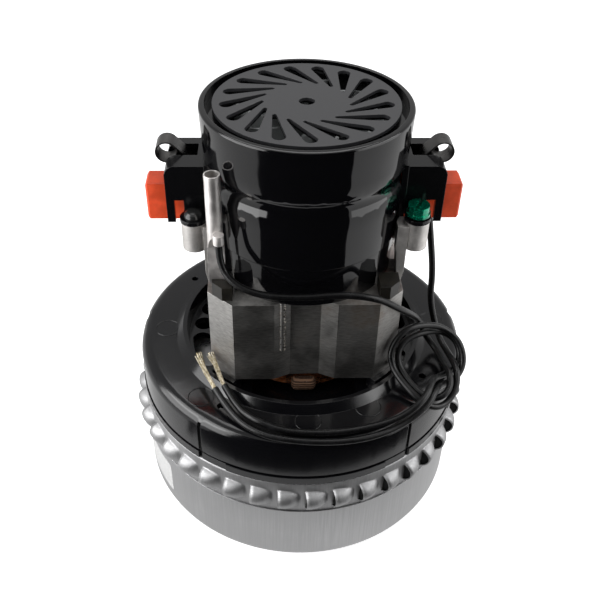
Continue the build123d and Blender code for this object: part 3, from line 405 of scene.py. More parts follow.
def moulded(name, colour, rough, specular=0.5, peel=0.06, edge=0.3, satin=None):
    """Injection-moulded plastic: slight orange peel, fine dust and handling marks in its gloss.

    satin names a disc by its least height and its radius in millimetres, where the skin is matter and greyer.
    """
    made = Finish(name).set(Specular_IOR_Level=specular)
    peel_wave = made.noise(420, detail=2)
    dust = made.noise(2100, detail=3)
    smears = made.noise(26, made.stretched((1, 1, 0.4)), detail=5)
    skin = made.mix(made.spread(dust, 0.62, 0.8, 0, 0.5), tinted(colour, 1.0), tinted(colour, 3.0))
    gloss = made.spread(smears, 0.35, 0.75, rough, rough + 0.07)
    if satin:
        zone = made.disc_zone(*satin)
        skin = made.mix(zone, skin, SATIN_COLOUR)
        blend = made.nodes.new("ShaderNodeMix")
        made.links.new(zone, blend.inputs["Factor"])
        made.links.new(gloss, blend.inputs[2])
        blend.inputs[3].default_value = SATIN_ROUGHNESS
        gloss = blend.outputs[0]
    made.colour(skin)
    made.roughness(gloss)
    made.bumps((peel_wave, peel, 0.2), edge=edge)
    return made.material


def cast_metal(name, colour, rough=0.5, grain=0.5):
    """Die-cast metal with a sandy skin and cloudy darker and lighter patches."""
    made = Finish(name).set(Metallic=1.0)
    skin = made.noise(900, detail=5)
    flow = made.noise(75, detail=4)
    made.colour(made.mix(made.spread(flow, 0.3, 0.72), tinted(colour, 0.7), tinted(colour, 1.15)))
    made.roughness(made.spread(skin, 0.3, 0.7, rough - 0.08, rough + 0.12))
    made.bumps((skin, grain, 0.12), (flow, 0.2, 0.3), edge=0.4)
    return made.material


def turned_metal(name, colour, rough=0.3, direction="Z", lines=900):
    """Turned or ground metal with fine rings."""
    made = Finish(name).set(Metallic=1.0)
    rings = made.stripes(lines, direction, 1.2)
    patches = made.noise(140, detail=3)
    made.colour(made.mix(made.spread(patches, 0.35, 0.7), tinted(colour, 0.82), tinted(colour, 1.08)))
    made.roughness(made.spread(patches, 0.3, 0.7, rough - 0.06, rough + 0.1))
    made.bumps((rings, 0.18, 0.03), edge=0.2)
    return made.material


def orange_phenolic():
    """Glossy orange moulding, mottled and with a scuffed skin."""
    made = Finish("orange_phenolic").set(Specular_IOR_Level=0.32, Subsurface_Weight=0.08)
    made.shader.inputs["Subsurface Radius"].default_value = (0.0015, 0.0005, 0.0002)
    base = bpy.context.scene.motor_finish.card_colour
    cloud = made.noise(170, detail=5)
    speck = made.noise(1500, detail=2)
    body = made.mix(made.spread(cloud, 0.35, 0.68), tinted(base, 0.8), tinted(base, 1.12))
    made.colour(made.mix(made.spread(speck, 0.66, 0.75, 0, 0.5), body, (0.35, 0.05, 0.02)))
    made.roughness(made.spread(cloud, 0.3, 0.7, 0.28, 0.42))
    made.bumps((cloud, 0.12, 0.2), (speck, 0.1, 0.05), edge=0.4)
    return made.material


def lamination_steel():
    """Stack of punched sheets: fine level lines, heat-tinted patches and light oil."""
    made = Finish("lamination_steel").set(Metallic=1.0)
    sheets = made.stripes(560, "Z", 0.1)
    grain = made.noise(1.0, made.stretched((380, 380, 2400)), detail=5)
    tint = made.noise(46, detail=6)
    sheen = made.mix(made.spread(grain, 0.3, 0.7), (0.32, 0.313, 0.302), (0.5, 0.489, 0.472))
    rust = made.mix(made.spread(tint, 0.5, 0.7, 0, 0.6), sheen, (0.2, 0.15, 0.11))
    made.colour(made.mix(made.spread(sheets, 0.0, 0.28, 0.22, 0), rust, (0.08, 0.08, 0.08)))
    made.roughness(made.spread(tint, 0.3, 0.7, 0.36, 0.56))
    made.bumps((sheets, 0.16, 0.05), (grain, 0.1, 0.04), edge=0.25)
    return made.material


def enamelled_copper(name, colour=(0.4, 0.14, 0.05)):
    """Copper wire under clear enamel."""
    made = Finish(name).set(Metallic=1.0, Coat_Weight=0.6, Coat_Roughness=0.12)
    tone = made.noise(260, detail=3)
    made.colour(made.mix(made.spread(tone, 0.3, 0.7), tinted(colour, 0.6), tinted(colour, 1.25)))
    made.roughness(made.spread(tone, 0.3, 0.7, 0.22, 0.38))
    made.bumps((tone, 0.15, 0.1))
    return made.material


def thread_wrap():
    """Light brown thread wound round the splice."""
    made = Finish("thread_wrap").set(Specular_IOR_Level=0.15)
    turns = made.stripes(260, "Z", 1.5)
    fuzz = made.noise(1900, detail=4)
    body = made.mix(made.spread(turns, 0.2, 0.8), (0.03, 0.016, 0.01), (0.16, 0.09, 0.055))
    made.colour(made.mix(made.spread(fuzz, 0.6, 0.75), body, (0.3, 0.22, 0.17)))
    made.set(Roughness=0.85)
    made.bumps((turns, 0.8, 0.4), (fuzz, 0.5, 0.15))
    return made.material


def lead_rubber():
    """Black cable cover with a fine leathery skin that runs along the lead."""
    made = Finish("lead_cover").set(Specular_IOR_Level=0.32)
    skin = made.noise(1300, detail=4)
    scuff = made.noise(120, detail=4)
    made.colour(made.mix(made.spread(scuff, 0.5, 0.8, 0, 0.6), (0.002, 0.002, 0.0022), (0.01, 0.01, 0.011)))
    made.roughness(made.spread(skin, 0.3, 0.7, 0.26, 0.4))
    made.bumps((skin, 0.22, 0.08))
    return made.material


def nylon():
    """Yellowish translucent nylon of the terminal blocks, its colour painted down to a near black as painted
    shade.
    """
    made = Finish("nylon").set(Transmission_Weight=0.3, Roughness=0.4, Subsurface_Weight=0.1)
    made.shader.inputs["Subsurface Radius"].default_value = (0.002, 0.0015, 0.0008)
    cloud = made.noise(240, detail=3)
    # painted shade: a near black with a yellow cast for the pale nylon, cloudy at random
    made.colour(made.mix(made.spread(cloud, 0.3, 0.7), (0.005, 0.004, 0.003), (0.012, 0.01, 0.006)))
    made.bumps((cloud, 0.1, 0.1), edge=0.25)
    return made.material


def green_anodised():
    """Bright green earth screw with metallic depth."""
    base = bpy.context.scene.motor_finish.ground_colour
    made = Finish("green_anodised").set(Metallic=0.85, Coat_Weight=1.0, Coat_Roughness=0.05)
    tone = made.noise(480, detail=3)
    made.colour(made.mix(made.spread(tone, 0.3, 0.7), tinted(base, 0.7), tinted(base, 1.3)))
    made.roughness(made.spread(tone, 0.3, 0.7, 0.16, 0.3))
    made.bumps((tone, 0.12, 0.08), edge=0.3)
    return made.material


def tinned_strand():
    """Tinned copper strands, dull and slightly yellow."""
    made = Finish("tinned_strand").set(Metallic=1.0)
    tone = made.noise(900, detail=3)
    made.colour(made.mix(made.spread(tone, 0.35, 0.65), (0.24, 0.2, 0.12), (0.55, 0.5, 0.4)))
    made.roughness(made.spread(tone, 0.3, 0.7, 0.35, 0.5))
    made.bumps((tone, 0.3, 0.1))
    return made.material


def paper_label():
    """Plain white label, its white painted down to a mid grey as painted shade."""
    made = Finish("plain_label").set(Specular_IOR_Level=0.3)
    fibre = made.noise(1400, detail=4)
    # painted shade: a mid grey for the white paper, with a little random fibre tone
    made.colour(made.mix(made.spread(fibre, 0.3, 0.7), (0.4, 0.4, 0.4), (0.46, 0.46, 0.45)))
    made.roughness(made.spread(fibre, 0.3, 0.7, 0.5, 0.65))
    made.bumps((fibre, 0.1, 0.05))
    return made.material


def painted_shade_hollow():
    """Painted shade for the inside of the fan case seen through an opening: near black, mottled a little at
    random.
    """
    made = Finish("painted_shade_hollow").set(Specular_IOR_Level=0.1, Roughness=0.8)
    shade_mottle = made.noise(300, detail=3)
    # painted shade: near-black colour for the hollow, with a faint random mottle
    made.colour(made.mix(shade_mottle, (0.003, 0.003, 0.003), (0.012, 0.012, 0.012)))
    return made.material


# Settings


class MotorSizes(bpy.types.PropertyGroup):
    case_radius: FloatProperty(
        name="Case radius",
        description="Outer radius of the fan case",
        default=0.0724,
        min=0.04,
        max=0.12,
        unit="LENGTH",
    )
    ring_radius: FloatProperty(
        name="Louvre ring radius",
        description="Outer radius of the louvre ring's wall",
        default=0.0719,
        unit="LENGTH",
    )
    case_seam: FloatProperty(
        name="Seam height",
        description="Where the louvre ring meets the can",
        default=0.0316,
        unit="LENGTH",
    )
    case_top: FloatProperty(
        name="Case height",
        description="Top of the louvre ring",
        default=0.0488,
        unit="LENGTH",
    )
    case_corner: FloatProperty(
        name="Case corner",
        description="Radius of the can's lower corner",
        default=0.0038,
        unit="LENGTH",
    )
    louvre_count: IntProperty(
        name="Louvres",
        description="Number of louvres round the case",
        default=40,
        min=8,
    )
    louvre_centre: FloatProperty(
        name="Louvre centre",
        description="Radius of the middle of a louvre's section",
        default=0.0697,
        unit="LENGTH",
    )
    louvre_radius: FloatProperty(
        name="Louvre radius",
        description="Half the height of a louvre's section",
        default=0.00534,
        unit="LENGTH",
    )
    louvre_rise: FloatProperty(
        name="Louvre rise",
        description="Depth of a louvre's section over half its height",
        default=1.18,
        subtype="FACTOR",
    )
    louvre_length: FloatProperty(
        name="Louvre length",
        description="From the mouth of a louvre to its tail",
        default=0.0092,
        unit="LENGTH",
    )
    louvre_height: FloatProperty(
        name="Louvre level",
        description="Height of the louvres' middle",
        default=0.0389,
        unit="LENGTH",
    )
    louvre_start: FloatProperty(
        name="First mouth",
        description="Angle of the front mouth",
        default=math.radians(-90.6),
        subtype="ANGLE",
    )
    coil_layers: IntProperty(
        name="Coil layers",
        description="Layers of wire in the end of a field coil",
        default=7,
        min=1,
    )


class MotorFinish(bpy.types.PropertyGroup):
    sheet_colour: FloatVectorProperty(
        name="Sheet",
        description="Colour of the fan case",
        subtype="COLOR",
        default=(0.44, 0.44, 0.445),
    )
    black_colour: FloatVectorProperty(
        name="Black mouldings",
        description="Colour of cover and bracket",
        subtype="COLOR",
        default=(0.0016, 0.0016, 0.002),
    )
    card_colour: FloatVectorProperty(
        name="Brush card",
        description="Colour of the brush cards",
        subtype="COLOR",
        default=(0.56, 0.052, 0.009),
    )
    ground_colour: FloatVectorProperty(
        name="Earth screw",
        description="Colour of the earth screw",
        subtype="COLOR",
        default=(0.0, 0.3, 0.17),
    )
    lamp_power: FloatProperty(
        name="Lamp power",
        description="Strength of the main softbox",
        default=3.2,
        min=0,
        max=60,
        unit="POWER",
    )


# Routes and sizes of the two leads, in metres

LEAD_DIAMETER = 0.0027
STRAND_COUNT, STRAND_RADIUS, STRAND_SPREAD = 14, 0.00019, 0.0008

LONG_LEAD = (
    (-0.0329, -0.0313, 0.1384), (-0.0331, -0.0321, 0.1295), (-0.0277, -0.0372, 0.1239),
    (-0.0181, -0.0405, 0.1212), (-0.0029, -0.0409, 0.1202), (0.0125, -0.0408, 0.1217),
    (0.0269, -0.0399, 0.119), (0.0366, -0.0361, 0.1104), (0.044, -0.0274, 0.0999), (0.0489, -0.0191, 0.09),
    (0.0527, -0.0182, 0.0811), (0.0575, -0.0233, 0.0765), (0.0588, -0.0316, 0.0767),
    (0.0597, -0.039, 0.0792), (0.0596, -0.0447, 0.0769), (0.0568, -0.0485, 0.0748),
    (0.0516, -0.0494, 0.0736), (0.0456, -0.0456, 0.0745), (0.0395, -0.0362, 0.078),
    (0.0387, -0.0313, 0.0829), (0.0424, -0.0276, 0.0872), (0.0501, -0.0245, 0.0881),
    (0.0586, -0.0203, 0.0853), (0.0651, -0.0226, 0.0823), (0.0671, -0.0275, 0.077),
    (0.0634, -0.0328, 0.0733), (0.0554, -0.0378, 0.0749), (0.0503, -0.0482, 0.0823),
    (0.0467, -0.0569, 0.0819), (0.0368, -0.062, 0.0762), (0.0224, -0.0652, 0.0742),
    (0.0077, -0.0674, 0.0743), (-0.009, -0.066, 0.0741), (-0.0195, -0.0633, 0.0772),
    (-0.0277, -0.0547, 0.0759), (-0.0327, -0.0447, 0.0782),
)
SHORT_LEAD = (
    (0.0506, -0.0034, 0.1326), (0.0525, -0.0058, 0.1206), (0.0539, -0.0101, 0.1088),
    (0.0546, -0.0099, 0.094), (0.0581, -0.0123, 0.0812), (0.0602, -0.0177, 0.0766),
    (0.0622, -0.0263, 0.0771), (0.0633, -0.0367, 0.0787), (0.0629, -0.043, 0.0746),
    (0.059, -0.0479, 0.0703), (0.0528, -0.0519, 0.0707), (0.0463, -0.0513, 0.0743),
    (0.0389, -0.0422, 0.0777), (0.0361, -0.0368, 0.0804), (0.0351, -0.0337, 0.0862),
    (0.0394, -0.0302, 0.0927), (0.0453, -0.0273, 0.0941), (0.0552, -0.0234, 0.0911),
    (0.0616, -0.0236, 0.0874), (0.0661, -0.0277, 0.0839), (0.0674, -0.0324, 0.0776),
    (0.0641, -0.0371, 0.0735), (0.0576, -0.0407, 0.0732), (0.0526, -0.0485, 0.0789),
    (0.049, -0.0554, 0.0771), (0.0388, -0.0612, 0.0722), (0.0252, -0.0677, 0.0718),
    (0.0108, -0.0707, 0.0727), (-0.0045, -0.0704, 0.0734), (-0.0182, -0.0672, 0.0738),
    (-0.0295, -0.0584, 0.0749), (-0.0363, -0.0469, 0.0788),
)
LONG_BARE = (
    (-0.03273, -0.04465, 0.07821), (-0.0345, -0.0412, 0.079), (-0.0361, -0.0356, 0.0796),
    (-0.0384, -0.0312, 0.08),
)
SHORT_BARE = (
    (-0.03633, -0.04685, 0.07882), (-0.0383, -0.0436, 0.0799), (-0.0414, -0.037, 0.0803),
    (-0.0434, -0.032, 0.0806),
)


def nurbs(name, routes, radius, material):
    """Round wire on the stator along one or more routes of control points."""
    curve = bpy.data.curves.new(name, "CURVE")
    curve.dimensions = "3D"
    curve.bevel_depth = radius
    curve.bevel_resolution = 6
    curve.resolution_u = 10
    curve.use_fill_caps = True
    for route in routes:
        spline = curve.splines.new("NURBS")
        spline.points.add(len(route) - 1)
        for point, place in zip(spline.points, route):
            point.co = (*place, 1)
        spline.order_u = 3
        spline.use_endpoint_u = True
        spline.use_smooth = True
    curve.materials.append(material)
    piece = bpy.data.objects.new(name, curve)
    bpy.context.scene.collection.objects.link(piece)
    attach(piece, STATOR)
    return piece


def strands_round(route, count, spread):
    """Routes of strands laid round a bare end's route, with a gentle twist and a frayed tip."""
    turn_apart, twist, flatness, flare = 2.4, 0.55, 0.25, 1.1
    tip_mean, tip_swing, tip_step = 1.3 * MM, 0.9 * MM, 5.1
    tip_lean = Vector((0.1, 0, 0.9))
    routes = []
    last = len(route) - 1
    ahead = (Vector(route[-1]) - Vector(route[-2])).normalized()
    for strand in range(count):
        points = []
        share = math.sqrt((strand + 0.5) / count)
        for index, place in enumerate(route):
            turn = turn_apart * strand + twist * index
            reach = spread * share * (1 + flare * (index / last) ** 3)
            across = Vector((math.cos(turn), flatness * math.sin(turn), math.sin(turn)))
            points.append(Vector(place) + across * reach)
        points[-1] += (ahead + tip_lean) * (tip_mean + tip_swing * math.sin(tip_step * strand))
        routes.append(points)
    return routes


class VACUUM_MOTOR_OT_leads(bpy.types.Operator):
    """Two black leads with their bare ends"""

    bl_idname = "vacuum_motor.leads"
    bl_label = "Leads"

    def execute(self, context):
        cover = lead_rubber()
        tin = tinned_strand()
        runs = (
            ("lead_long", LONG_LEAD, "bare_end_long", LONG_BARE, 0.358),
            ("lead_short", SHORT_LEAD, "bare_end_short", SHORT_BARE, 0.311),
        )
        for name, route, bare_name, bare_route, length in runs:
            wire = nurbs(name + "_cover", [route], LEAD_DIAMETER / 2, cover)
            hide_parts(name)
            strands = strands_round(bare_route, STRAND_COUNT, STRAND_SPREAD)
            bare = nurbs(bare_name + "_strands", strands, STRAND_RADIUS, tin)
            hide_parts(bare_name)
        return {"FINISHED"}


class VACUUM_MOTOR_OT_fan_case(bpy.types.Operator):
    """Drawn can of the fan case with its plain label"""

    bl_idname = "vacuum_motor.fan_case"
    bl_label = "Fan case"

    def execute(self, context):
        sizes = context.scene.motor_sizes
        sheet = drawn_sheet("drawn_sheet", context.scene.motor_finish.sheet_colour)
        radius, seam, wall = sizes.case_radius / MM, sizes.case_seam / MM, CASE_WALL
        bm = bmesh.new()
        spin_profile(
            bm,
            [
                (EYE_RADIUS, EYE_LIP),
                (EYE_RADIUS, 0.0),
                (radius, 0.0),
                (radius, seam),
                (radius - wall, seam),
                (radius - wall, wall),
                (EYE_RADIUS + wall, wall),
                (EYE_RADIUS + wall, EYE_LIP),
            ],
            CASE_STEPS,
        )
        round_rings(bm, radius, 0.0, sizes.case_corner / MM, 7)
        round_rings(bm, EYE_RADIUS, 0.0, EYE_ROUND, 3)
        piece = finish_piece("lower_shell_sheet", bm, [sheet], sharp=40)
        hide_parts("lower_shell")
        self.label(radius + LABEL_LIFT)
        return {"FINISHED"}

    def label(self, radius):
        """Plain label on the left of the can."""
        bm = bmesh.new()
        chain(bm, [at_angle(radius, LABEL_START, height) for height in (LABEL_LOW, LABEL_HIGH)])
        spin_all(bm, math.radians(LABEL_SPAN), LABEL_STEPS)
        corners = [vert for vert in bm.verts if len(vert.link_edges) == 2]
        bmesh.ops.bevel(
            bm,
            geom=corners,
            offset=LABEL_CORNER * MM,
            segments=4,
            profile=0.5,
            affect="VERTICES",
            material=-1,
        )
        bmesh.ops.recalc_face_normals(bm, faces=bm.faces)
        finish_piece("plain_label", bm, [paper_label()])


class VACUUM_MOTOR_OT_louvres(bpy.types.Operator):
    """Louvre ring: a wall and one hood repeated round it, near black inside and in the mouths as painted
    shade
    """

    bl_idname = "vacuum_motor.louvres"
    bl_label = "Louvre ring"

    def execute(self, context):
        sizes = context.scene.motor_sizes
        sheet = drawn_sheet("pressed_sheet", context.scene.motor_finish.sheet_colour, rough=0.56, edge=0.7)
        radius, low, high = (size / MM for size in (sizes.ring_radius, sizes.case_seam, sizes.case_top))
        profile = [
            (radius - RING_FLANGE, high),
            (radius, high),
            (radius, low),
            (radius - RING_STEP, low),
            (radius - RING_STEP, low - RING_SPIGOT),
        ]
        bm = bmesh.new()
        spin_profile(bm, profile, sizes.louvre_count * 4, closed=False)
        if sum(face.normal.dot(face.calc_center_median()) for face in bm.faces) < 0:
            bmesh.ops.reverse_faces(bm, faces=bm.faces)
        round_rings(bm, radius, high, RING_TOP_ROUND, 3)
        round_rings(bm, radius, low, RING_SEAM_ROUND, 2)
        self.hoods(bm, sizes)
        ring = finish_piece("louvre_ring_sheet", bm, [sheet, painted_shade_hollow()], sharp=48)
        wall = ring.modifiers.new("Sheet", "SOLIDIFY")
        wall.thickness = RING_SHEET * MM
        wall.offset = -1
        # the sheet's inner faces take the near-black painted shade of the hollow
        wall.material_offset = 1
        wall.material_offset_rim = 0
        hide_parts("louvre_ring")
        # dark discs of painted shade just inside the mouths
        self.mouth_shade_discs(sizes)
        return {"FINISHED"}

    def hoods(self, ring, sizes):
        """Domed hoods, each open at its mouth and sinking into the wall at its tail."""
        middle = Vector((sizes.louvre_centre, 0, sizes.louvre_height))
        length = sizes.louvre_length
        bm = bmesh.new()
        made = bmesh.ops.create_circle(bm, cap_ends=False, segments=HOOD_SIDES, radius=sizes.louvre_radius)
        upright = Matrix.Translation(middle) @ Matrix.Rotation(math.radians(-90), 4, "X")
        bmesh.ops.transform(bm, matrix=upright, verts=made["verts"])
        edges = bm.edges[:]
        last_share, last_along = 1.0, 0.0
        for row in range(1, HOOD_ROWS + 1):
            along = math.sin(row / HOOD_ROWS * math.pi / 2)
            share = HOOD_TAIL_SHARE + (1 - HOOD_TAIL_SHARE) * (1 - along**HOOD_FALL_POWER)
            grown = bmesh.ops.extrude_edge_only(bm, edges=edges)["geom"]
            verts = [item for item in grown if isinstance(item, bmesh.types.BMVert)]
            edges = [item for item in grown if isinstance(item, bmesh.types.BMEdge)]
            bmesh.ops.translate(bm, verts=verts, vec=(0, (along - last_along) * length, 0))
            centre = middle + Vector((0, along * length, 0))
            flatter = Matrix.Scale(share / last_share, 4, (1, 0, 0))
            shrink = Matrix.Translation(centre) @ flatter @ Matrix.Translation(-centre)
            bmesh.ops.transform(bm, matrix=shrink, verts=verts)
            last_share, last_along = share, along
        bmesh.ops.holes_fill(bm, edges=edges)
        bmesh.ops.transform(bm, matrix=self.press(sizes), verts=bm.verts)
        cut_below(bm, (sizes.ring_radius - HOOD_ROOT * MM, 0, 0), (1, 0, 0))
        bmesh.ops.recalc_face_normals(bm, faces=bm.faces)
        if sum(face.normal.x for face in bm.faces) < 0:
            bmesh.ops.reverse_faces(bm, faces=bm.faces)
        bmesh.ops.translate(bm, verts=bm.verts, vec=(0, -length / 2, 0))
        self.repeat(bm, sizes)
        take(ring, bm)

    def press(self, sizes):
        """Gives a hood its rise, lifts its crown and leans its mouth outwards."""
        deeper = Matrix.Diagonal((sizes.louvre_rise, 1, 1, 1))
        deeper[1][0], deeper[2][0] = HOOD_LEAN_SHARE, HOOD_LIFT_SHARE
        to_middle = Matrix.Translation((sizes.louvre_centre, 0, sizes.louvre_height))
        return to_middle @ deeper @ to_middle.inverted()

    def mouth_shade_discs(self, sizes):
        """A dark disc just inside each mouth, as painted shade for the opening."""
        bm = bmesh.new()
        radius = sizes.louvre_radius - MOUTH_MARGIN * MM
        made = bmesh.ops.create_circle(bm, cap_ends=True, segments=MOUTH_SIDES, radius=radius)
        middle = Vector((sizes.louvre_centre, MOUTH_DEPTH * MM, sizes.louvre_height))
        upright = Matrix.Translation(middle) @ Matrix.Rotation(math.radians(-90), 4, "X")
        bmesh.ops.transform(bm, matrix=self.press(sizes) @ upright, verts=made["verts"])
        bmesh.ops.translate(bm, verts=bm.verts, vec=(0, -sizes.louvre_length / 2, 0))
        cut_below(bm, (sizes.ring_radius, 0, 0), (1, 0, 0))
        self.repeat(bm, sizes)
        finish_piece("louvre_mouth_shade", bm, [painted_shade_hollow()])

    def repeat(self, bm, sizes):
        """Turns one hood to its place and copies it round the case."""
        count = sizes.louvre_count
        half_turn = math.asin(sizes.louvre_length / 2 / sizes.louvre_centre)
        start = Matrix.Rotation(sizes.louvre_start + half_turn, 3, "Z")
        bmesh.ops.rotate(bm, verts=bm.verts, cent=(0, 0, 0), matrix=start)
        spin_all(bm, math.tau * (count - 1) / count, count - 1, use_duplicate=True)


class VACUUM_MOTOR_OT_bracket(bpy.types.Operator):
    """Black fan-end bracket with its moulding marks, and the plate under it"""

    bl_idname = "vacuum_motor.bracket"
    bl_label = "Fan-end bracket"

    def execute(self, context):
        black = context.scene.motor_finish.black_colour
        moulding = moulded("bracket_moulding", tinted(black, 1.4), 0.12, specular=0.45, peel=0.04)
        smooth_node("fan_end_bracket", moulding)
        plate = turned_metal("plate_steel", (0.5, 0.5, 0.5))
        smooth_node("closing_plate", plate)
        smooth_node("guide_vane_plate", plate)
        self.marks(moulding)
        return {"FINISHED"}

    def marks(self, moulding):
        """Ejector marks on the top face."""
        bm = bmesh.new()
        for radius, degrees in MARK_PLACES:
            centre = at_angle(radius, degrees, MARK_HEIGHT) * MM
            made = bmesh.ops.create_circle(bm, cap_ends=False, segments=10, radius=MARK_BEAD * MM)
            shift = Matrix.Translation(centre + Vector((MARK_RADIUS * MM, 0, 0)))
            side = shift @ Matrix.Rotation(math.pi / 2, 4, "X")
            bmesh.ops.transform(bm, matrix=side, verts=made["verts"])
            ring = {edge for vert in made["verts"] for edge in vert.link_edges}
            bmesh.ops.spin(
                bm,
                geom=made["verts"] + list(ring),
                cent=centre,
                axis=(0, 0, 1),
                angle=math.tau,
                steps=40,
                use_merge=True,
            )
        bmesh.ops.recalc_face_normals(bm, faces=bm.faces)
        finish_piece("ejector_marks", bm, [moulding])


class VACUUM_MOTOR_OT_field(bpy.types.Operator):
    """Field stack with its weld bead, and the two field coils"""

    bl_idname = "vacuum_motor.field"
    bl_label = "Field stack and coils"

    def execute(self, context):
        smooth_node("field_stack", lamination_steel(), sharp=10)
        self.weld()
        copper = enamelled_copper("coil_copper")
        layers = context.scene.motor_sizes.coil_layers
        for name, turn in (("front", -180), ("back", 0)):
            self.coil_ends(name, math.radians(COIL_START + turn), copper, layers)
            self.coil_sides(name, copper)
            if name == "front":
                self.splice()
        return {"FINISHED"}

    def weld(self):
        """A row of overlapping weld pools down the front notch."""
        bm = bmesh.new()
        for index in range(WELD_POOLS):
            made = bmesh.ops.create_icosphere(bm, subdivisions=2, radius=WELD_RADIUS * MM)
            squash = Matrix.Diagonal(WELD_SHAPE)
            tilt = Matrix.Rotation(math.radians(WELD_TILT), 4, "X")
            step = Vector((WELD_SWAY * (index % 2), 0, -WELD_PITCH * index))
            shift = Matrix.Translation((Vector(WELD_TOP) + step) * MM)
            bmesh.ops.transform(bm, matrix=shift @ tilt @ squash, verts=made["verts"])
        made = Finish("weld_metal").set(Metallic=1.0)
        scale = made.noise(900, detail=5)
        made.colour(made.mix(made.spread(scale, 0.4, 0.62), (0.05, 0.045, 0.04), (0.5, 0.47, 0.42)))
        made.roughness(made.spread(scale, 0.3, 0.7, 0.25, 0.6))
        made.bumps((scale, 0.6, 0.2))
        finish_piece("weld_bead", bm, [made.material])

    def coil_ends(self, name, start, copper, layers):
        """Wires of a coil's end turns below and above the stack."""
        whole = bmesh.new()
        for low in COIL_FLOORS:
            bm = bmesh.new()
            for layer in range(layers):
                for column in range(COIL_COLUMNS):
                    reach = COIL_INNER + column * COIL_ACROSS + COIL_STAGGER * (layer % 2)
                    centre = Vector((reach, 0, low + COIL_FIRST_UP + layer * COIL_UP)) * MM
                    made = bmesh.ops.create_circle(bm, cap_ends=True, segments=8, radius=WIRE_RADIUS * MM)
                    stand = Matrix.Translation(centre) @ Matrix.Rotation(math.pi / 2, 4, "X")
                    bmesh.ops.transform(bm, matrix=stand, verts=made["verts"])
            bmesh.ops.rotate(bm, verts=bm.verts, cent=(0, 0, 0), matrix=Matrix.Rotation(start, 3, "Z"))
            spin_all(bm, math.radians(COIL_SPAN), COIL_STEPS)
            take(whole, bm)
        bmesh.ops.recalc_face_normals(whole, faces=whole.faces)
        wires = finish_piece("field_coil_" + name + "_wire", whole, [copper])
        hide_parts("field_coil_" + name)

    def coil_sides(self, name, copper):
        """A coil's sides in the stack's slots: the CAD solid cut at the stack's faces."""
        bm = node_mesh("field_coil_" + name)
        for height, up in STACK_CUTS:
            cut_below(bm, (0, 0, height * MM), (0, 0, up))
        open_edges = [edge for edge in bm.edges if edge.is_boundary]
        bmesh.ops.holes_fill(bm, edges=open_edges)
        finish_piece("field_coil_" + name + "_sides", bm, [copper], sharp=34)

    def splice(self):
        """Wrapped splice at the foot of the front coil."""
        bm = bmesh.new()
        bmesh.ops.create_cube(bm, size=1.0)
        swell = Matrix.Diagonal((*(Vector(SPLICE_SIZE) * MM), 1))
        shape = Matrix.Translation(Vector(SPLICE_PLACE) * MM) @ swell
        bmesh.ops.transform(bm, matrix=shape, verts=bm.verts)
        bmesh.ops.bevel(
            bm,
            geom=bm.edges[:],
            offset=SPLICE_ROUND * MM,
            segments=5,
            profile=0.5,
            affect="EDGES",
            material=-1,
        )
        bmesh.ops.subdivide_edges(bm, edges=bm.edges[:], cuts=1, smooth=0.3)
        finish_piece("splice_wrap", bm, [thread_wrap()])


class VACUUM_MOTOR_OT_cover(bpy.types.Operator):
    """Glossy motor cover with its swirl grille"""

    bl_idname = "vacuum_motor.cover"
    bl_label = "Motor cover"

    def execute(self, context):
        black = context.scene.motor_finish.black_colour
        gloss = moulded("cover_gloss", black, 0.05, specular=0.5, peel=0.03, edge=0.35, satin=(179.0, 35.4))
        smooth_node("motor_cover", gloss, sharp=38)
        return {"FINISHED"}


class VACUUM_MOTOR_OT_end_bracket(bpy.types.Operator):
    """Cast end bracket, its screws, the terminal tube and the insulators"""

    bl_idname = "vacuum_motor.end_bracket"
    bl_label = "End bracket and terminals"

    def execute(self, context):
        smooth_node("end_bracket", cast_metal("cast_aluminium", (0.66, 0.64, 0.62), 0.6))
        smooth_node("bracket_screw", moulded("black_screw", (0.012, 0.012, 0.012), 0.2))
        smooth_node("ground_screw", green_anodised())
        smooth_node("through_bolts", turned_metal("bolt_steel", (0.45, 0.45, 0.44)))
        smooth_node("terminal_tube", turned_metal("tube_tin", (0.82, 0.79, 0.77), 0.5))
        insulator = nylon()
        for name in ("terminal_block_left", "terminal_block_right"):
            smooth_node(name, insulator)
        return {"FINISHED"}


class VACUUM_MOTOR_OT_brush_gear(bpy.types.Operator):
    """Brush housings, cards, sleeves, brushes, springs and curled clips on both sides"""

    bl_idname = "vacuum_motor.brush_gear"
    bl_label = "Brush gear"

    def execute(self, context):
        holder = moulded("holder_moulding", (0.0025, 0.0025, 0.003), 0.17, specular=0.4, peel=0.1, edge=0.45)
        card = orange_phenolic()
        brass = turned_metal("drawn_brass", (0.66, 0.46, 0.2), 0.28, "X")
        strip = turned_metal("clip_steel", (0.1, 0.097, 0.094), 0.3, "Y", 1500)
        spring = turned_metal("spring_steel", (0.5, 0.5, 0.5), 0.25, "X", 500)
        carbon = cast_metal("carbon", (0.04, 0.04, 0.042), 0.5, 0.3)
        for side in ("right", "left"):
            smooth_node("brush_housing_" + side, holder)
            smooth_node("brush_card_" + side, card)
            smooth_node("brush_sleeve_" + side, brass)
            smooth_node("brush_clip_" + side, strip, sharp=50)
            smooth_node("carbon_brush_" + side, carbon)
            coils = smooth_node("brush_spring_" + side, spring)
            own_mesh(coils)
        return {"FINISHED"}


